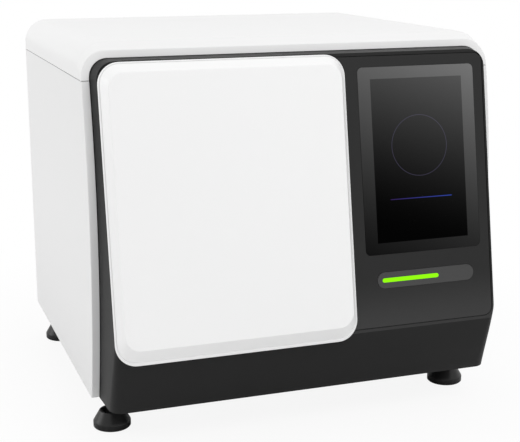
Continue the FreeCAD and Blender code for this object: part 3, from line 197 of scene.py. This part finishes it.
def circle_through(start, sag, end):
    """Centre and radius of the circle through two ends and the point sag away from their chord's middle."""
    chord = end - start
    length = np.hypot(*chord)
    radius = (length ** 2 / 4 + sag ** 2) / (2 * sag)
    across = np.array([chord[1], -chord[0]]) / length
    return (start + end) / 2 + across * (radius - sag), radius


bow_start = np.array([front_y + bow_toe, panel_bottom])
bow_end = np.array([front_y, seam_z])
bow_centre, bow_radius = circle_through(bow_start, bow_depth, bow_end)


def bow_y(z):
    """Front surface of the shell: the near side of the bow's circle at height z."""
    return bow_centre[0] - np.sqrt(bow_radius ** 2 - (z - bow_centre[1]) ** 2)


def round_rectangle(left, right, low, high, radius, steps=12):
    """Closed outline, anticlockwise from the lower right: four quarter circles joined by straight sides."""
    sweep = np.linspace(-math.pi / 2, 0, steps)
    turns = sweep[None, :] + np.arange(4)[:, None] * math.pi / 2
    centre_x = np.array([right - radius, right - radius, left + radius, left + radius])[:, None]
    centre_z = np.array([low + radius, high - radius, high - radius, low + radius])[:, None]
    across = centre_x + radius * np.cos(turns)
    up = centre_z + radius * np.sin(turns)
    return across.ravel(), up.ravel()


def arch(half, low, high, radius, steps=14, flank=4):
    """Open outline from the lower left, up a side, round a quarter circle, across, and down again."""
    sweep = np.linspace(math.pi, math.pi / 2, steps)
    rise = np.linspace(low, high - radius, flank, endpoint=False)
    left_x = np.concatenate([np.full(flank, -half), radius - half + radius * np.cos(sweep)])
    left_z = np.concatenate([rise, high - radius + radius * np.sin(sweep)])
    return np.concatenate([left_x, -left_x[::-1]]), np.concatenate([left_z, left_z[::-1]])


def soften(rows, radii, steps=6):
    """Rounds the corners of a closed profile: each row with a radius becomes a parabola between the two
    points that lie the radius before and after it on the straight runs, with one more point beyond each, so
    that the shading of the flats stays even. The points never reach the middle of a run."""
    reach, guard, guard_share = 0.45, 0.48, 1.4
    t = np.linspace(0, 1, steps)[:, None, None]
    before = np.roll(rows, 1, axis=0) - rows
    after = np.roll(rows, -1, axis=0) - rows
    made = []
    for row, back, ahead, radius in zip(rows, before, after, radii):
        if radius == 0:
            made.append(row[None])
            continue
        back_length = np.linalg.norm(back, axis=-1, keepdims=True)
        ahead_length = np.linalg.norm(ahead, axis=-1, keepdims=True)
        start = row + back / back_length * np.minimum(radius, reach * back_length)
        end = row + ahead / ahead_length * np.minimum(radius, reach * ahead_length)
        first = row + back / back_length * np.minimum(guard_share * radius, guard * back_length)
        last = row + ahead / ahead_length * np.minimum(guard_share * radius, guard * ahead_length)
        curve = (1 - t) ** 2 * start + 2 * t * (1 - t) * row + t ** 2 * end
        made += [first[None], curve, last[None]]
    return np.concatenate(made)


def swept(profile):
    """Grid of a closed profile carried along a path. Each entry of the profile holds x, y and z along the
    path, as numbers or arrays, and the radius that softens that edge."""
    rows = np.array([np.stack(np.broadcast_arrays(x, y, z), axis=-1) for x, y, z, _ in profile])
    return soften(rows, [edge for *_, edge in profile]).transpose(1, 0, 2)


def closed_mesh(name, grid):
    """Mesh over a grid of points whose second direction closes on itself, with a flat face at either end.
    Faces are turned outwards by the sign of the enclosed volume."""
    rows, columns = grid.shape[:2]
    points = grid.reshape(-1, 3)
    index = np.arange(rows * columns).reshape(rows, columns)
    beside = np.roll(index, -1, axis=1)
    quads = np.stack([index[:-1], beside[:-1], beside[1:], index[1:]], axis=-1).reshape(-1, 4)
    corner = points[quads]
    volume = np.einsum("ij,ij->i", corner[:, 0], np.cross(corner[:, 1], corner[:, 2])).sum()
    volume += np.einsum("ij,ij->i", corner[:, 0], np.cross(corner[:, 2], corner[:, 3])).sum()
    ends = (index[0][::-1], index[-1])
    for end in ends:
        ring = points[end]
        volume += (ring[0] * np.cross(ring[1:-1], ring[2:])).sum()
    faces = quads.tolist() + [end.tolist() for end in ends]
    if volume < 0:
        faces = [face[::-1] for face in faces]
    mesh = bpy.data.meshes.new(name)
    mesh.from_pydata(points.tolist(), [], faces)
    mesh.validate()
    return mesh


def smooth(mesh, degrees):
    """Smooth shading that breaks where two faces meet at more than the angle."""
    mesh.polygons.foreach_set("use_smooth", np.ones(len(mesh.polygons), bool))
    mesh.set_sharp_from_angle(angle=math.radians(degrees))


def add_piece(name, mesh, material, body, nodes, degrees=35):
    """A finished piece: smooth, in one material, riding on its body in place of its nodes."""
    smooth(mesh, degrees)
    mesh.materials.append(material)
    piece = bpy.data.objects.new(name, mesh)
    bpy.context.scene.collection.objects.link(piece)
    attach(piece, body)
    if nodes:
        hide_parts(*nodes)
    return piece


def finer_copy(node, material, bevel=0.0, segments=2, degrees=30):
    """The node's own surface with its triangles joined, flat areas merged and edges rounded by bevel."""
    mesh = frame["nodes"][node].data.copy()
    mesh.materials.clear()
    work = bmesh.new()
    work.from_mesh(mesh)
    bmesh.ops.remove_doubles(work, verts=work.verts, dist=join_distance)
    bmesh.ops.dissolve_limit(work, angle_limit=flat_angle, verts=work.verts, edges=work.edges)
    work.to_mesh(mesh)
    work.free()
    piece = add_piece(node + "_finished", mesh, material, body_of[node], [node], degrees)
    if bevel:
        edge = piece.modifiers.new("soft edges", "BEVEL")
        edge.width = bevel
        edge.segments = segments
        edge.limit_method = "ANGLE"
        edge.angle_limit = math.radians(degrees)
        edge.use_clamp_overlap = True
        edge.harden_normals = True
    return piece


# Materials

def tone(level, tint=(1.0, 1.0, 1.0)):
    """Linear colour of a grey level from 0 to 255 as it looks on a screen, with a slight tint: a straight
    line for the darkest levels and a power of 2.4 above them, the usual curve of a screen."""
    share = level / 255
    linear = share / 12.92 if share <= 0.04045 else ((share + 0.055) / 1.055) ** 2.4
    return tuple(linear * part for part in tint) + (1.0,)


def node_group(name, inputs, outputs):
    """Empty shader group with named sockets, its input node and its output node."""
    tree = bpy.data.node_groups.new(name, "ShaderNodeTree")
    for label, kind, value in inputs:
        socket = tree.interface.new_socket(label, in_out="INPUT", socket_type=kind)
        socket.default_value = value
    for label, kind in outputs:
        tree.interface.new_socket(label, in_out="OUTPUT", socket_type=kind)
    return tree, tree.nodes.new("NodeGroupInput"), tree.nodes.new("NodeGroupOutput")


def feed(tree, socket, value):
    """Gives a socket its value: a link from another socket, or a number or colour."""
    if isinstance(value, bpy.types.NodeSocket):
        tree.links.new(value, socket)
    else:
        socket.default_value = value


def object_place(tree):
    """Socket with the point in the piece's own coordinates."""
    return tree.nodes.new("ShaderNodeTexCoord").outputs["Object"]


def object_axes(tree):
    """Sockets X, Y and Z of the point in the piece's own coordinates."""
    parts = tree.nodes.new("ShaderNodeSeparateXYZ")
    tree.links.new(object_place(tree), parts.inputs[0])
    return parts.outputs


def noise(tree, place, scale, detail):
    """Cloudy values round a half; the scale is a socket or a number."""
    texture = tree.nodes.new("ShaderNodeTexNoise")
    texture.inputs["Detail"].default_value = detail
    feed(tree, texture.inputs["Scale"], scale)
    tree.links.new(place, texture.inputs["Vector"])
    return texture.outputs["Fac"]


def math_node(tree, operation, first, second=0.0, third=0.0, clamp=False):
    """One Math node; each operand is a socket or a number."""
    node = tree.nodes.new("ShaderNodeMath")
    node.operation = operation
    node.use_clamp = clamp
    for socket, value in zip(node.inputs, (first, second, third)):
        feed(tree, socket, value)
    return node.outputs[0]


def map_range(tree, value, start, end, low=0.0, high=1.0, curve="LINEAR"):
    """Carries the values from start to end over to low to high, and holds them there beyond."""
    node = tree.nodes.new("ShaderNodeMapRange")
    node.interpolation_type = curve
    for label, limit in (("From Min", start), ("From Max", end), ("To Min", low), ("To Max", high)):
        node.inputs[label].default_value = limit
    tree.links.new(value, node.inputs["Value"])
    return node.outputs[0]


def mix_colour(tree, factor, first, second, blend="MIX"):
    """One Mix node for colours; factor, first and second are sockets or values."""
    node = tree.nodes.new("ShaderNodeMix")
    node.data_type = "RGBA"
    node.blend_type = blend
    for label, value in (("Factor_Float", factor), ("A_Color", first), ("B_Color", second)):
        feed(tree, next(s for s in node.inputs if s.identifier == label), value)
    return next(s for s in node.outputs if s.identifier == "Result_Color")


def grey(tree, value):
    """Colour whose three parts are the same value."""
    node = tree.nodes.new("ShaderNodeCombineColor")
    for socket in node.inputs[:3]:
        tree.links.new(value, socket)
    return node.outputs[0]


def surface_group():
    """Grain of a moulded, painted or ground surface: fine bumps, faint clouds in colour and in gloss. The
    height of the bumps is a fine noise; colour and roughness drift with a wide noise round its middle."""
    cloud_scale, cloud_detail, grain_detail, bump_height = 6.0, 3.0, 2.0, 0.0003
    inputs = [("Colour", "NodeSocketColor", (0.8, 0.8, 0.8, 1)), ("Roughness", "NodeSocketFloat", 0.4),
              ("Grain scale", "NodeSocketFloat", 900.0), ("Grain depth", "NodeSocketFloat", 0.1),
              ("Clouds", "NodeSocketFloat", 0.03), ("Gloss drift", "NodeSocketFloat", 0.08)]
    outputs = [("Colour", "NodeSocketColor"), ("Roughness", "NodeSocketFloat"),
               ("Normal", "NodeSocketVector")]
    tree, given, made = node_group("surface grain", inputs, outputs)
    place = object_place(tree)
    wide = noise(tree, place, cloud_scale, cloud_detail)
    fine = noise(tree, place, given.outputs["Grain scale"], grain_detail)
    drift = math_node(tree, "SUBTRACT", wide, 0.5)
    shade = math_node(tree, "MULTIPLY_ADD", drift, given.outputs["Clouds"], 1.0)
    colour = mix_colour(tree, 1.0, given.outputs["Colour"], grey(tree, shade), "MULTIPLY")
    rough = math_node(tree, "MULTIPLY_ADD", drift, given.outputs["Gloss drift"], given.outputs["Roughness"])
    bump = tree.nodes.new("ShaderNodeBump")
    bump.inputs["Distance"].default_value = bump_height
    tree.links.new(given.outputs["Grain depth"], bump.inputs["Strength"])
    tree.links.new(fine, bump.inputs["Height"])
    for label, value in (("Colour", colour), ("Roughness", rough), ("Normal", bump.outputs["Normal"])):
        tree.links.new(value, made.inputs[label])
    return tree


grain = surface_group()


def material(name, colour, roughness, grain_scale, grain_depth, clouds, drift=0.06, **sockets):
    """Material of one finish: the grain group feeds colour, roughness and normal; the rest is set on the
    shader's own sockets."""
    made = bpy.data.materials.new(name)
    made.use_nodes = True
    tree = made.node_tree
    shader = tree.nodes["Principled BSDF"]
    group = tree.nodes.new("ShaderNodeGroup")
    group.node_tree = grain
    settings = {"Colour": colour, "Roughness": roughness, "Grain scale": grain_scale,
                "Grain depth": grain_depth, "Clouds": clouds, "Gloss drift": drift}
    for label, value in settings.items():
        group.inputs[label].default_value = value
    for label, target in (("Colour", "Base Color"), ("Roughness", "Roughness"), ("Normal", "Normal")):
        tree.links.new(group.outputs[label], shader.inputs[target])
    for label, value in sockets.items():
        shader.inputs[label.replace("_", " ")].default_value = value
    return made


# Colour, roughness, grain scale, grain depth, clouds in the colour and, where given, drift of the gloss
shell_paint = material("shell_paint", tone(229), 0.42, 1400.0, 0.08, 0.012)
cover_plastic = material("cover_plastic", tone(234), 0.38, 1100.0, 0.05, 0.010)
door_plastic = material("door_plastic", tone(240), 0.36, 1100.0, 0.04, 0.010)
fascia_plastic = material("fascia_plastic", tone(26), 0.46, 1600.0, 0.22, 0.10, Specular_IOR_Level=0.20)
face_plastic = material("face_plastic", tone(24), 0.42, 1800.0, 0.14, 0.08, Specular_IOR_Level=0.28)
capsule_plastic = material("capsule_plastic", tone(52), 0.30, 1500.0, 0.06, 0.05)
light_green = (0.30, 1.0, 0.0, 1.0)
lit_pipe = material("lit_pipe", (0.05, 0.16, 0.0, 1.0), 0.25, 500.0, 0.02, 0.10, Emission_Color=light_green,
                    Emission_Strength=0.85, Specular_IOR_Level=0.1)
foot_rubber = material("foot_rubber", tone(20), 0.34, 1300.0, 0.06, 0.10, Specular_IOR_Level=0.35)
# Black of the painted shade in the seams and in the gap behind the door's lip
gap_shade_black = material("gap_shade_black", tone(14), 0.80, 1500.0, 0.10, 0.10, Specular_IOR_Level=0.1)
seal_rubber = material("seal_rubber", tone(52), 0.70, 1500.0, 0.25, 0.15)
inner_plastic = material("inner_plastic", tone(216), 0.45, 1200.0, 0.10, 0.02)
sheet_steel = material("sheet_steel", tone(188), 0.34, 260.0, 0.06, 0.16, 0.20, Metallic=1.0)
ground_steel = material("ground_steel", tone(205), 0.20, 900.0, 0.04, 0.05, 0.08, Metallic=1.0)
hinge_black = material("hinge_black", tone(30), 0.42, 1200.0, 0.08, 0.06, Specular_IOR_Level=0.3)
bright_steel = material("bright_steel", tone(212), 0.16, 700.0, 0.02, 0.03, 0.05, Metallic=1.0)
clear_anodised = material("clear_anodised", tone(196, (0.98, 0.99, 1.0)), 0.36, 1500.0, 0.08, 0.04,
                          Metallic=1.0)
black_anodised = material("black_anodised", tone(38), 0.40, 1500.0, 0.10, 0.08, Metallic=0.6)
rear_paint = material("rear_paint", tone(222), 0.50, 1300.0, 0.16, 0.02)
motor_paint = material("motor_paint", tone(34), 0.38, 1200.0, 0.10, 0.06)
chip_plastic = material("chip_plastic", tone(225, (0.96, 0.98, 1.0)), 0.18, 700.0, 0.02, 0.02)
filter_glass = material("filter_glass", (0.10, 0.22, 0.55, 1), 0.05, 300.0, 0.0, 0.05, 0.02)
board_green = material("board_green", (0.012, 0.10, 0.035, 1), 0.42, 1200.0, 0.05, 0.10)
fan_plastic = material("fan_plastic", tone(32), 0.45, 1200.0, 0.12, 0.08)
belt_rubber = material("belt_rubber", tone(24), 0.60, 1500.0, 0.20, 0.10)
socket_steel = material("socket_steel", tone(200), 0.28, 700.0, 0.04, 0.05, Metallic=1.0)


def painted_sheen_towards_crease(made, reach, level):
    """Painted sheen: lifts the colour of a leaning black face, from a reach above the crease down to the
    crease, to the right of a line that lies behind the door, in place of the lamps' reflection there."""
    crease_z = seam_z + crease_up * math.cos(fascia_lean)
    tree = made.node_tree
    axes = object_axes(tree)
    fall = map_range(tree, axes["Z"], crease_z + reach, crease_z, curve="SMOOTHSTEP")
    above = math_node(tree, "GREATER_THAN", axes["Z"], crease_z)
    beside = math_node(tree, "GREATER_THAN", axes["X"], door_right - sheen_behind_door)
    share = math_node(tree, "MULTIPLY", fall, math_node(tree, "MULTIPLY", above, beside))
    group = next(node for node in tree.nodes if node.type == "GROUP")
    lifted = mix_colour(tree, share, tuple(group.inputs["Colour"].default_value), tone(level))
    tree.links.new(lifted, group.inputs["Colour"])


def glow_at_the_front(made, colour, node, thickness):
    """Keeps a piece's glow to the layer of that thickness behind its front, measured square to the fascia."""
    mesh = frame["nodes"][node].data
    points = np.empty(3 * len(mesh.vertices))
    mesh.vertices.foreach_get("co", points)
    square = (0.0, math.cos(fascia_lean), -math.sin(fascia_lean))
    front = (points.reshape(-1, 3) @ np.array(square)).min()
    tree = made.node_tree
    depth = tree.nodes.new("ShaderNodeVectorMath")
    depth.operation = "DOT_PRODUCT"
    depth.inputs[1].default_value = square
    tree.links.new(object_place(tree), depth.inputs[0])
    lit = math_node(tree, "LESS_THAN", depth.outputs["Value"], front + thickness)
    glow = mix_colour(tree, lit, (0, 0, 0, 1), colour)
    tree.links.new(glow, tree.nodes["Principled BSDF"].inputs["Emission Color"])


# Painted sheen on the frame and the panel, paler towards the crease
painted_sheen_towards_crease(fascia_plastic, frame_sheen_reach, crease_sheen_level)
painted_sheen_towards_crease(face_plastic, panel_sheen_reach, crease_sheen_level)
glow_at_the_front(lit_pipe, light_green, "status_light_pipe", glow_layer)


def band(tree, value, low, high, edge):
    """Mask that is 1 between low and high and falls to 0 over edge on either side."""
    rise = math_node(tree, "MULTIPLY_ADD", value, 1 / edge, -low / edge + 0.5, clamp=True)
    fall = math_node(tree, "MULTIPLY_ADD", value, -1 / edge, high / edge + 0.5, clamp=True)
    return math_node(tree, "MULTIPLY", rise, fall)


def wash(tree, x, up, level, rise, drift):
    """Grey that grows evenly for the eye, painted reflection over a dim grey of its own: level at the
    picture's lower left corner, rise more at its top and drift more at its right. The screen level, lifted a
    little, is turned into light by a power."""
    rise_slope = rise / (picture_top - picture_bottom)
    drift_slope = drift / (picture_right - picture_left)
    start = level + level_lift - drift_slope * picture_left
    across = math_node(tree, "MULTIPLY_ADD", x, drift_slope / level_range, start / level_range)
    along = math_node(tree, "MULTIPLY_ADD", up, rise_slope / level_range,
                      -rise_slope * picture_bottom / level_range)
    seen = math_node(tree, "ADD", across, along, clamp=True)
    return grey(tree, math_node(tree, "POWER", seen, level_power))


def screen_material():
    """Black cover glass over a lit picture. Glass and picture each hold a dim grey of their own with a
    painted reflection over it that fades downwards and to the left. The picture is a box in x and in distance
    up the slope, with a thin ring, where the distance from its centre is its radius, and a thin line that
    runs from violet to blue."""
    black = (0, 0, 0, 1)
    made = material("screen_glass", tone(30), 0.10, 300.0, 0.0, 0.02, 0.02, Specular_IOR_Level=0.015)
    tree = made.node_tree
    axes = object_axes(tree)
    x = axes["X"]
    height = math_node(tree, "SUBTRACT", axes["Z"], seam_z)
    up = math_node(tree, "DIVIDE", height, math.cos(fascia_lean))
    picture = math_node(tree, "MULTIPLY", band(tree, x, picture_left, picture_right, picture_blur),
                        band(tree, up, picture_bottom, picture_top, picture_blur))
    # Painted reflection on the glass and the picture, over their own dim grey
    colour = mix_colour(tree, picture, wash(tree, x, up, *glass_reflection_wash), wash(tree, x, up, *picture_reflection_wash))
    aside = math_node(tree, "SUBTRACT", x, ring_x)
    over = math_node(tree, "SUBTRACT", up, ring_up)
    square = math_node(tree, "MULTIPLY_ADD", aside, aside, math_node(tree, "MULTIPLY", over, over))
    ring = band(tree, math_node(tree, "SQRT", square), ring_radius - ring_half_line,
                ring_radius + ring_half_line, line_blur)
    line = math_node(tree, "MULTIPLY", band(tree, up, line_up - line_half, line_up + line_half, line_blur),
                     band(tree, x, line_low, line_high, line_fade))
    hue = mix_colour(tree, map_range(tree, x, line_low, line_high), line_violet, line_blue)
    glow = mix_colour(tree, 1.0, mix_colour(tree, ring, black, ring_violet),
                      mix_colour(tree, line, black, hue), "ADD")
    shader = tree.nodes["Principled BSDF"]
    tree.links.new(colour, shader.inputs["Base Color"])
    tree.links.new(glow, shader.inputs["Emission Color"])
    shader.inputs["Emission Strength"].default_value = 1.0
    return made


screen_glass = screen_material()


# Outer pieces

def door_outline(side, high, low, radius, depth):
    """Points of the door's outline at a depth, drawn in from the sides, the top and the bottom."""
    across, up = round_rectangle(door_left + side, door_right - side, door_bottom + low, door_top - high,
                                 radius)
    return on_fascia(across, depth, up)


def door_shell():
    """White door skin. Its outline is carried forward through a profile: back rim, thin lip, ledge, fine
    groove, slope and flat field, each a round rectangle drawn in from the sides, top and bottom, with the
    edges softened. Two more outlines lie inside the field, so that the flat face shades evenly."""
    lip = (lip_ledge, lip_ledge, lip_ledge_bottom, door_corner - lip_ledge)
    slope = (lip_ledge + groove_width, lip_ledge + groove_width, lip_ledge_bottom + groove_width,
             door_corner - lip_ledge - groove_width)
    seat = (seat_inset, seat_inset, seat_inset, door_corner - seat_inset)
    profile = [
        (*seat, liner_seat, 0.0),
        (*seat, lip_back, 0.0),
        (0.0, 0.0, 0.0, door_corner, rim_back, rim_edge),
        (lip_slope, lip_slope, lip_slope_bottom, door_corner - lip_slope, lip_front, lip_edge),
        (*lip, lip_front, ledge_edge),
        (*lip, lip_front + groove_depth, 0.0),
        (*slope, lip_front + groove_depth, 0.0),
        (*slope, lip_front - groove_depth, ledge_edge),
        (field_side, field_top, field_bottom, field_corner, door_face, field_edge),
    ]
    for inset in (flat_start, flat_end):
        profile.append((field_side + inset, field_top + inset, field_bottom + inset, field_corner - inset,
                        door_face, 0.0))
    rows = np.array([door_outline(*place) for *place, _ in profile])
    grid = soften(rows, [edge for *_, edge in profile], steps=8)
    return add_piece("door_shell", closed_mesh("door_shell", grid), door_plastic, "door", ["door_skin"])


def door_gap_shade():
    """Black strip of painted shade behind the door's lip, darkening the gap between lip and fascia: a flat
    bar between two round rectangles, drawn in a little from the lip's edge and standing just clear of the
    fascia. It stays open along the
    top, where the hinges are: the outline starts at its third corner, the upper left, and ends after its
    second."""
    rows = []
    for inset, depth in ((gap_shade_outer, rim_back), (gap_shade_outer, -gap_shade_clearance), (gap_shade_inner, -gap_shade_clearance),
                         (gap_shade_inner, rim_back)):
        outline = door_outline(inset, inset, inset, door_corner - inset, depth)
        rows.append(np.roll(outline, len(outline) // 2, axis=0))
    grid = np.array(rows).transpose(1, 0, 2)
    return add_piece("door_gap_shade", closed_mesh("door_gap_shade", grid), gap_shade_black, "door", [])


def cover_shell():
    """Top cover. Arches from seam to seam are carried round a closed profile: ring edge, bowed ring face,
    sloping brow, top, rear edge, rear flange and the inside. The brow's lower edge is where the line from
    its front arch to its back arch meets the bowed surface, found by halving."""
    halvings = 30
    brow_y = front_y + brow_reach
    nose_y = front_y - nose_reach
    ring_edge_y = bow_y(top_z - brow_drop)
    fall = brow_drop * (brow_y - nose_y) / (brow_y - ring_edge_y)
    nose_x, nose_z = arch(half_width, cover_bottom, top_z - fall, top_z - fall - seam_z - nose_flank)
    brow_x, brow_z = arch(half_width, cover_bottom, top_z, cover_corner)
    low, high = np.zeros_like(nose_x), np.ones_like(nose_x)
    for _ in range(halvings):
        share = (low + high) / 2
        ahead = nose_y + share * (brow_y - nose_y) < bow_y(nose_z + share * (brow_z - nose_z))
        low, high = np.where(ahead, share, low), np.where(ahead, high, share)
    edge_x = nose_x + share * (brow_x - nose_x)
    edge_z = nose_z + share * (brow_z - nose_z)
    ring_half = half_width - ring_width
    ring_high = top_z - brow_drop - ring_top_width
    ring_x, ring_z = arch(ring_half, cover_bottom, ring_high, ring_corner)
    back_x, back_z = arch(half_width - rear_flange, cover_bottom, top_z - rear_flange,
                          cover_corner - rear_flange / 2)
    in_x, in_z = arch(half_width - wall, cover_bottom, top_z - wall, cover_corner - wall)
    profile = [
        (ring_x, bow_y(ring_z) + wall, ring_z, 0.0),
        (ring_x, bow_y(ring_z), ring_z, ring_edge),
        (edge_x, bow_y(edge_z), edge_z, brow_edge),
        (brow_x, brow_y, brow_z, brow_top_edge),
        (brow_x, rear_y, brow_z, rear_edge),
        (back_x, rear_y, back_z, flange_edge),
        (back_x, rear_y - wall, back_z, 0.0),
        (in_x, rear_y - wall, in_z, 0.0),
        (in_x, brow_y + wall, in_z, 0.0),
    ]
    return add_piece("cover_shell", closed_mesh("cover_shell", swept(profile)), cover_plastic, "housing",
                     ["top_cover"])


def side_shell(side, name, node):
    """Side panel. One closed profile seen from above, with the front return, the flat side and the rear
    flange, is repeated up the height while its front edge follows the bow."""
    stations = 40
    height = np.linspace(panel_bottom, panel_top, stations)
    front = bow_y(height)
    outer = side * half_width
    ring = side * (half_width - ring_width)
    inner = side * (half_width - wall)
    profile = [
        (ring, front + wall, height, 0.0),
        (ring, front, height, ring_edge),
        (outer, front, height, side_front_edge),
        (outer, rear_y, height, rear_edge),
        (ring, rear_y, height, flange_edge),
        (ring, rear_y - wall, height, 0.0),
        (inner, rear_y - wall, height, 0.0),
        (inner, front + wall, height, 0.0),
    ]
    return add_piece(name, closed_mesh(name, swept(profile)), shell_paint, "housing", [node])


def seam_shade_strip(side, name):
    """Dark strip of painted shade in the seam between cover and side panel, darkening the gap. Seen from
    above it is the panel's wall, drawn in a little: front return, flat side and rear flange, like a C. It
    lies between two heights."""
    ring = half_width - ring_width + seam_inset
    outer = half_width - seam_inset
    inner = half_width - wall
    front = front_y + seam_inset
    rear = rear_y - seam_inset
    outline = [(ring, front), (outer, front), (outer, rear), (ring, rear), (ring, rear_y - wall),
               (inner, rear_y - wall), (inner, front_y + wall), (ring, front_y + wall)]
    heights = (panel_top + seam_play, cover_bottom - seam_play)
    grid = np.array([[(side * x, y, z) for x, y in outline] for z in heights])
    return add_piece(name, closed_mesh(name, grid), gap_shade_black, "housing", [])


door_shell()
# Painted shade: a black strip in the gap behind the door's lip
door_gap_shade()
cover_shell()
# Painted shade: dark strips in the seams between cover and side panels
seam_shade_strip(-1, "seam_shade_strip_left")
seam_shade_strip(1, "seam_shade_strip_right")
side_shell(-1, "left_side_shell", "left_side_panel")
side_shell(1, "right_side_shell", "right_side_panel")
finer_copy("fascia_frame", fascia_plastic, moulding_edge)
finer_copy("fascia_panel", face_plastic, trim_edge)
finer_copy("touch_glass", screen_glass, moulding_edge, segments=3)
finer_copy("status_trim", capsule_plastic, trim_edge)
finer_copy("status_light_pipe", lit_pipe, trim_edge)
for corner in ("front_left", "front_right", "back_left", "back_right"):
    finer_copy("foot_" + corner, foot_rubber, foot_edge, degrees=25)


# Pieces behind the door and at the back: the frame's own forms with soft edges, each in its finish

finishes = {
    sheet_steel: ["base_tray", "chassis_left", "chassis_right", "divider", "power_supply"],
    rear_paint: ["rear_panel"],
    inner_plastic: ["door_liner", "chamber_liner"],
    seal_rubber: ["door_seal"],
    bright_steel: ["door_strikes", "door_magnets", "rear_screws", "fan_guards"],
    hinge_black: ["hinge_door_leaves", "hinge_fixed_leaves"],
    clear_anodised: ["deck_plate", "stage_carriage", "thermal_block", "lid_bridge", "gantry_beam",
                     "gantry_drive_pulley", "gantry_idler_pulley", "optics_carriage"],
    black_anodised: ["chip_nest", "screw_bearings", "heated_lid", "optics_housing", "objective_lens",
                     "filter_wheel"],
    ground_steel: ["stage_rails", "stage_screw", "lid_columns", "gantry_rail"],
    motor_paint: ["stage_motor", "lid_actuator", "gantry_motor"],
    chip_plastic: ["sample_chips"],
    filter_glass: ["filter_glasses"],
    board_green: ["main_board"],
    fan_plastic: ["fan_frames", "fan_rotor_left", "fan_rotor_right", "power_inlet", "power_rocker",
                  "display_panel"],
    belt_rubber: ["gantry_belt"],
    socket_steel: ["data_ports"],
}
for finish, nodes in finishes.items():
    for node in nodes:
        finer_copy(node, finish, inner_edge, segments=1)


# Studio

def floor():
    """Large pale floor. The camera sees it mixed with plain white, wholly so at a distance, and the soft
    shadow under the machine is what darkens it. The share of white grows with the distance from the
    machine's middle."""
    reach, pale, dull = 40.0, 0.85, 0.9
    least_white, near, far = 0.90, 0.30, 0.85
    mesh = bpy.data.meshes.new("floor")
    mesh.from_pydata([(-reach, -reach, 0), (reach, -reach, 0), (reach, reach, 0), (-reach, reach, 0)], [],
                     [(0, 1, 2, 3)])
    made = bpy.data.materials.new("studio_floor")
    made.use_nodes = True
    tree = made.node_tree
    shader = tree.nodes["Principled BSDF"]
    shader.inputs["Base Color"].default_value = (pale, pale, pale, 1)
    shader.inputs["Roughness"].default_value = dull
    shader.inputs["Specular IOR Level"].default_value = 0.0
    white = tree.nodes.new("ShaderNodeEmission")
    path = tree.nodes.new("ShaderNodeLightPath")
    mixer = tree.nodes.new("ShaderNodeMixShader")
    distance = tree.nodes.new("ShaderNodeVectorMath")
    distance.operation = "LENGTH"
    tree.links.new(object_place(tree), distance.inputs[0])
    whiteness = map_range(tree, distance.outputs["Value"], near, far, least_white, curve="SMOOTHSTEP")
    seen = math_node(tree, "MULTIPLY", path.outputs["Is Camera Ray"], whiteness)
    tree.links.new(seen, mixer.inputs[0])
    tree.links.new(shader.outputs[0], mixer.inputs[1])
    tree.links.new(white.outputs[0], mixer.inputs[2])
    tree.links.new(mixer.outputs[0], tree.nodes["Material Output"].inputs["Surface"])
    mesh.materials.append(made)
    ground = bpy.data.objects.new("floor", mesh)
    bpy.context.scene.collection.objects.link(ground)


def studio_world():
    """Soft even light; camera, glossy and transmitted rays see plain white."""
    soft_strength = 0.79
    plain_white = (1.0, 1.0, 1.0, 1.0)
    world = bpy.data.worlds.new("studio")
    bpy.context.scene.world = world
    world.use_nodes = True
    tree = world.node_tree
    tree.nodes.clear()
    soft = tree.nodes.new("ShaderNodeBackground")
    soft.inputs["Color"].default_value = plain_white
    soft.inputs["Strength"].default_value = soft_strength
    white = tree.nodes.new("ShaderNodeBackground")
    white.inputs["Color"].default_value = plain_white
    path = tree.nodes.new("ShaderNodeLightPath")
    seen = math_node(tree, "ADD", path.outputs["Is Camera Ray"], path.outputs["Is Glossy Ray"])
    seen = math_node(tree, "ADD", seen, path.outputs["Is Transmission Ray"], clamp=True)
    mixer = tree.nodes.new("ShaderNodeMixShader")
    tree.links.new(seen, mixer.inputs[0])
    tree.links.new(soft.outputs[0], mixer.inputs[1])
    tree.links.new(white.outputs[0], mixer.inputs[2])
    output = tree.nodes.new("ShaderNodeOutputWorld")
    tree.links.new(mixer.outputs[0], output.inputs[0])


def softbox(name, place, target, size, power):
    """Square lamp that faces a point. It is tilted up from straight down by the angle of the aim, then turned
    about the upright."""
    lamp = bpy.data.lights.new(name, "AREA")
    lamp.shape = "SQUARE"
    lamp.size = size
    lamp.energy = power
    holder = bpy.data.objects.new(name, lamp)
    aim = np.array(target) - np.array(place)
    turn = math.atan2(aim[0], aim[1])
    tilt = math.atan2(np.hypot(aim[0], aim[1]), -aim[2])
    holder.location = place
    holder.rotation_euler = (tilt, 0, -turn)
    bpy.context.scene.collection.objects.link(holder)


def camera():
    """Camera at the photograph's place, turned towards the machine's right and a little down."""
    aside, away, height = -0.5522, 1.4224, 0.6413
    down, turned = 13.687, 19.465
    sensor_width, focal_length = 36.0, 80.83
    lens = bpy.data.cameras.new("camera")
    lens.sensor_width = sensor_width
    lens.lens = focal_length
    holder = bpy.data.objects.new("camera", lens)
    holder.location = (aside, front_y - away, height)
    holder.rotation_euler = (math.radians(90 - down), 0, math.radians(-turned))
    bpy.context.scene.collection.objects.link(holder)
    bpy.context.scene.camera = holder


floor()
studio_world()

# Lamps: place, point aimed at, size in metres and power in watts
middle = (0.0, 0.0, 0.25)
softbox("key", (0.9, -1.9, 2.3), middle, 1.4, 21.0)
softbox("side", (-2.4, 0.7, 1.1), middle, 1.4, 14.0)
softbox("top", (0.0, 0.1, 2.8), (0.0, 0.1001, 0.4), 2.0, 3.0)

camera()
bpy.context.scene.view_settings.view_transform = "Standard"
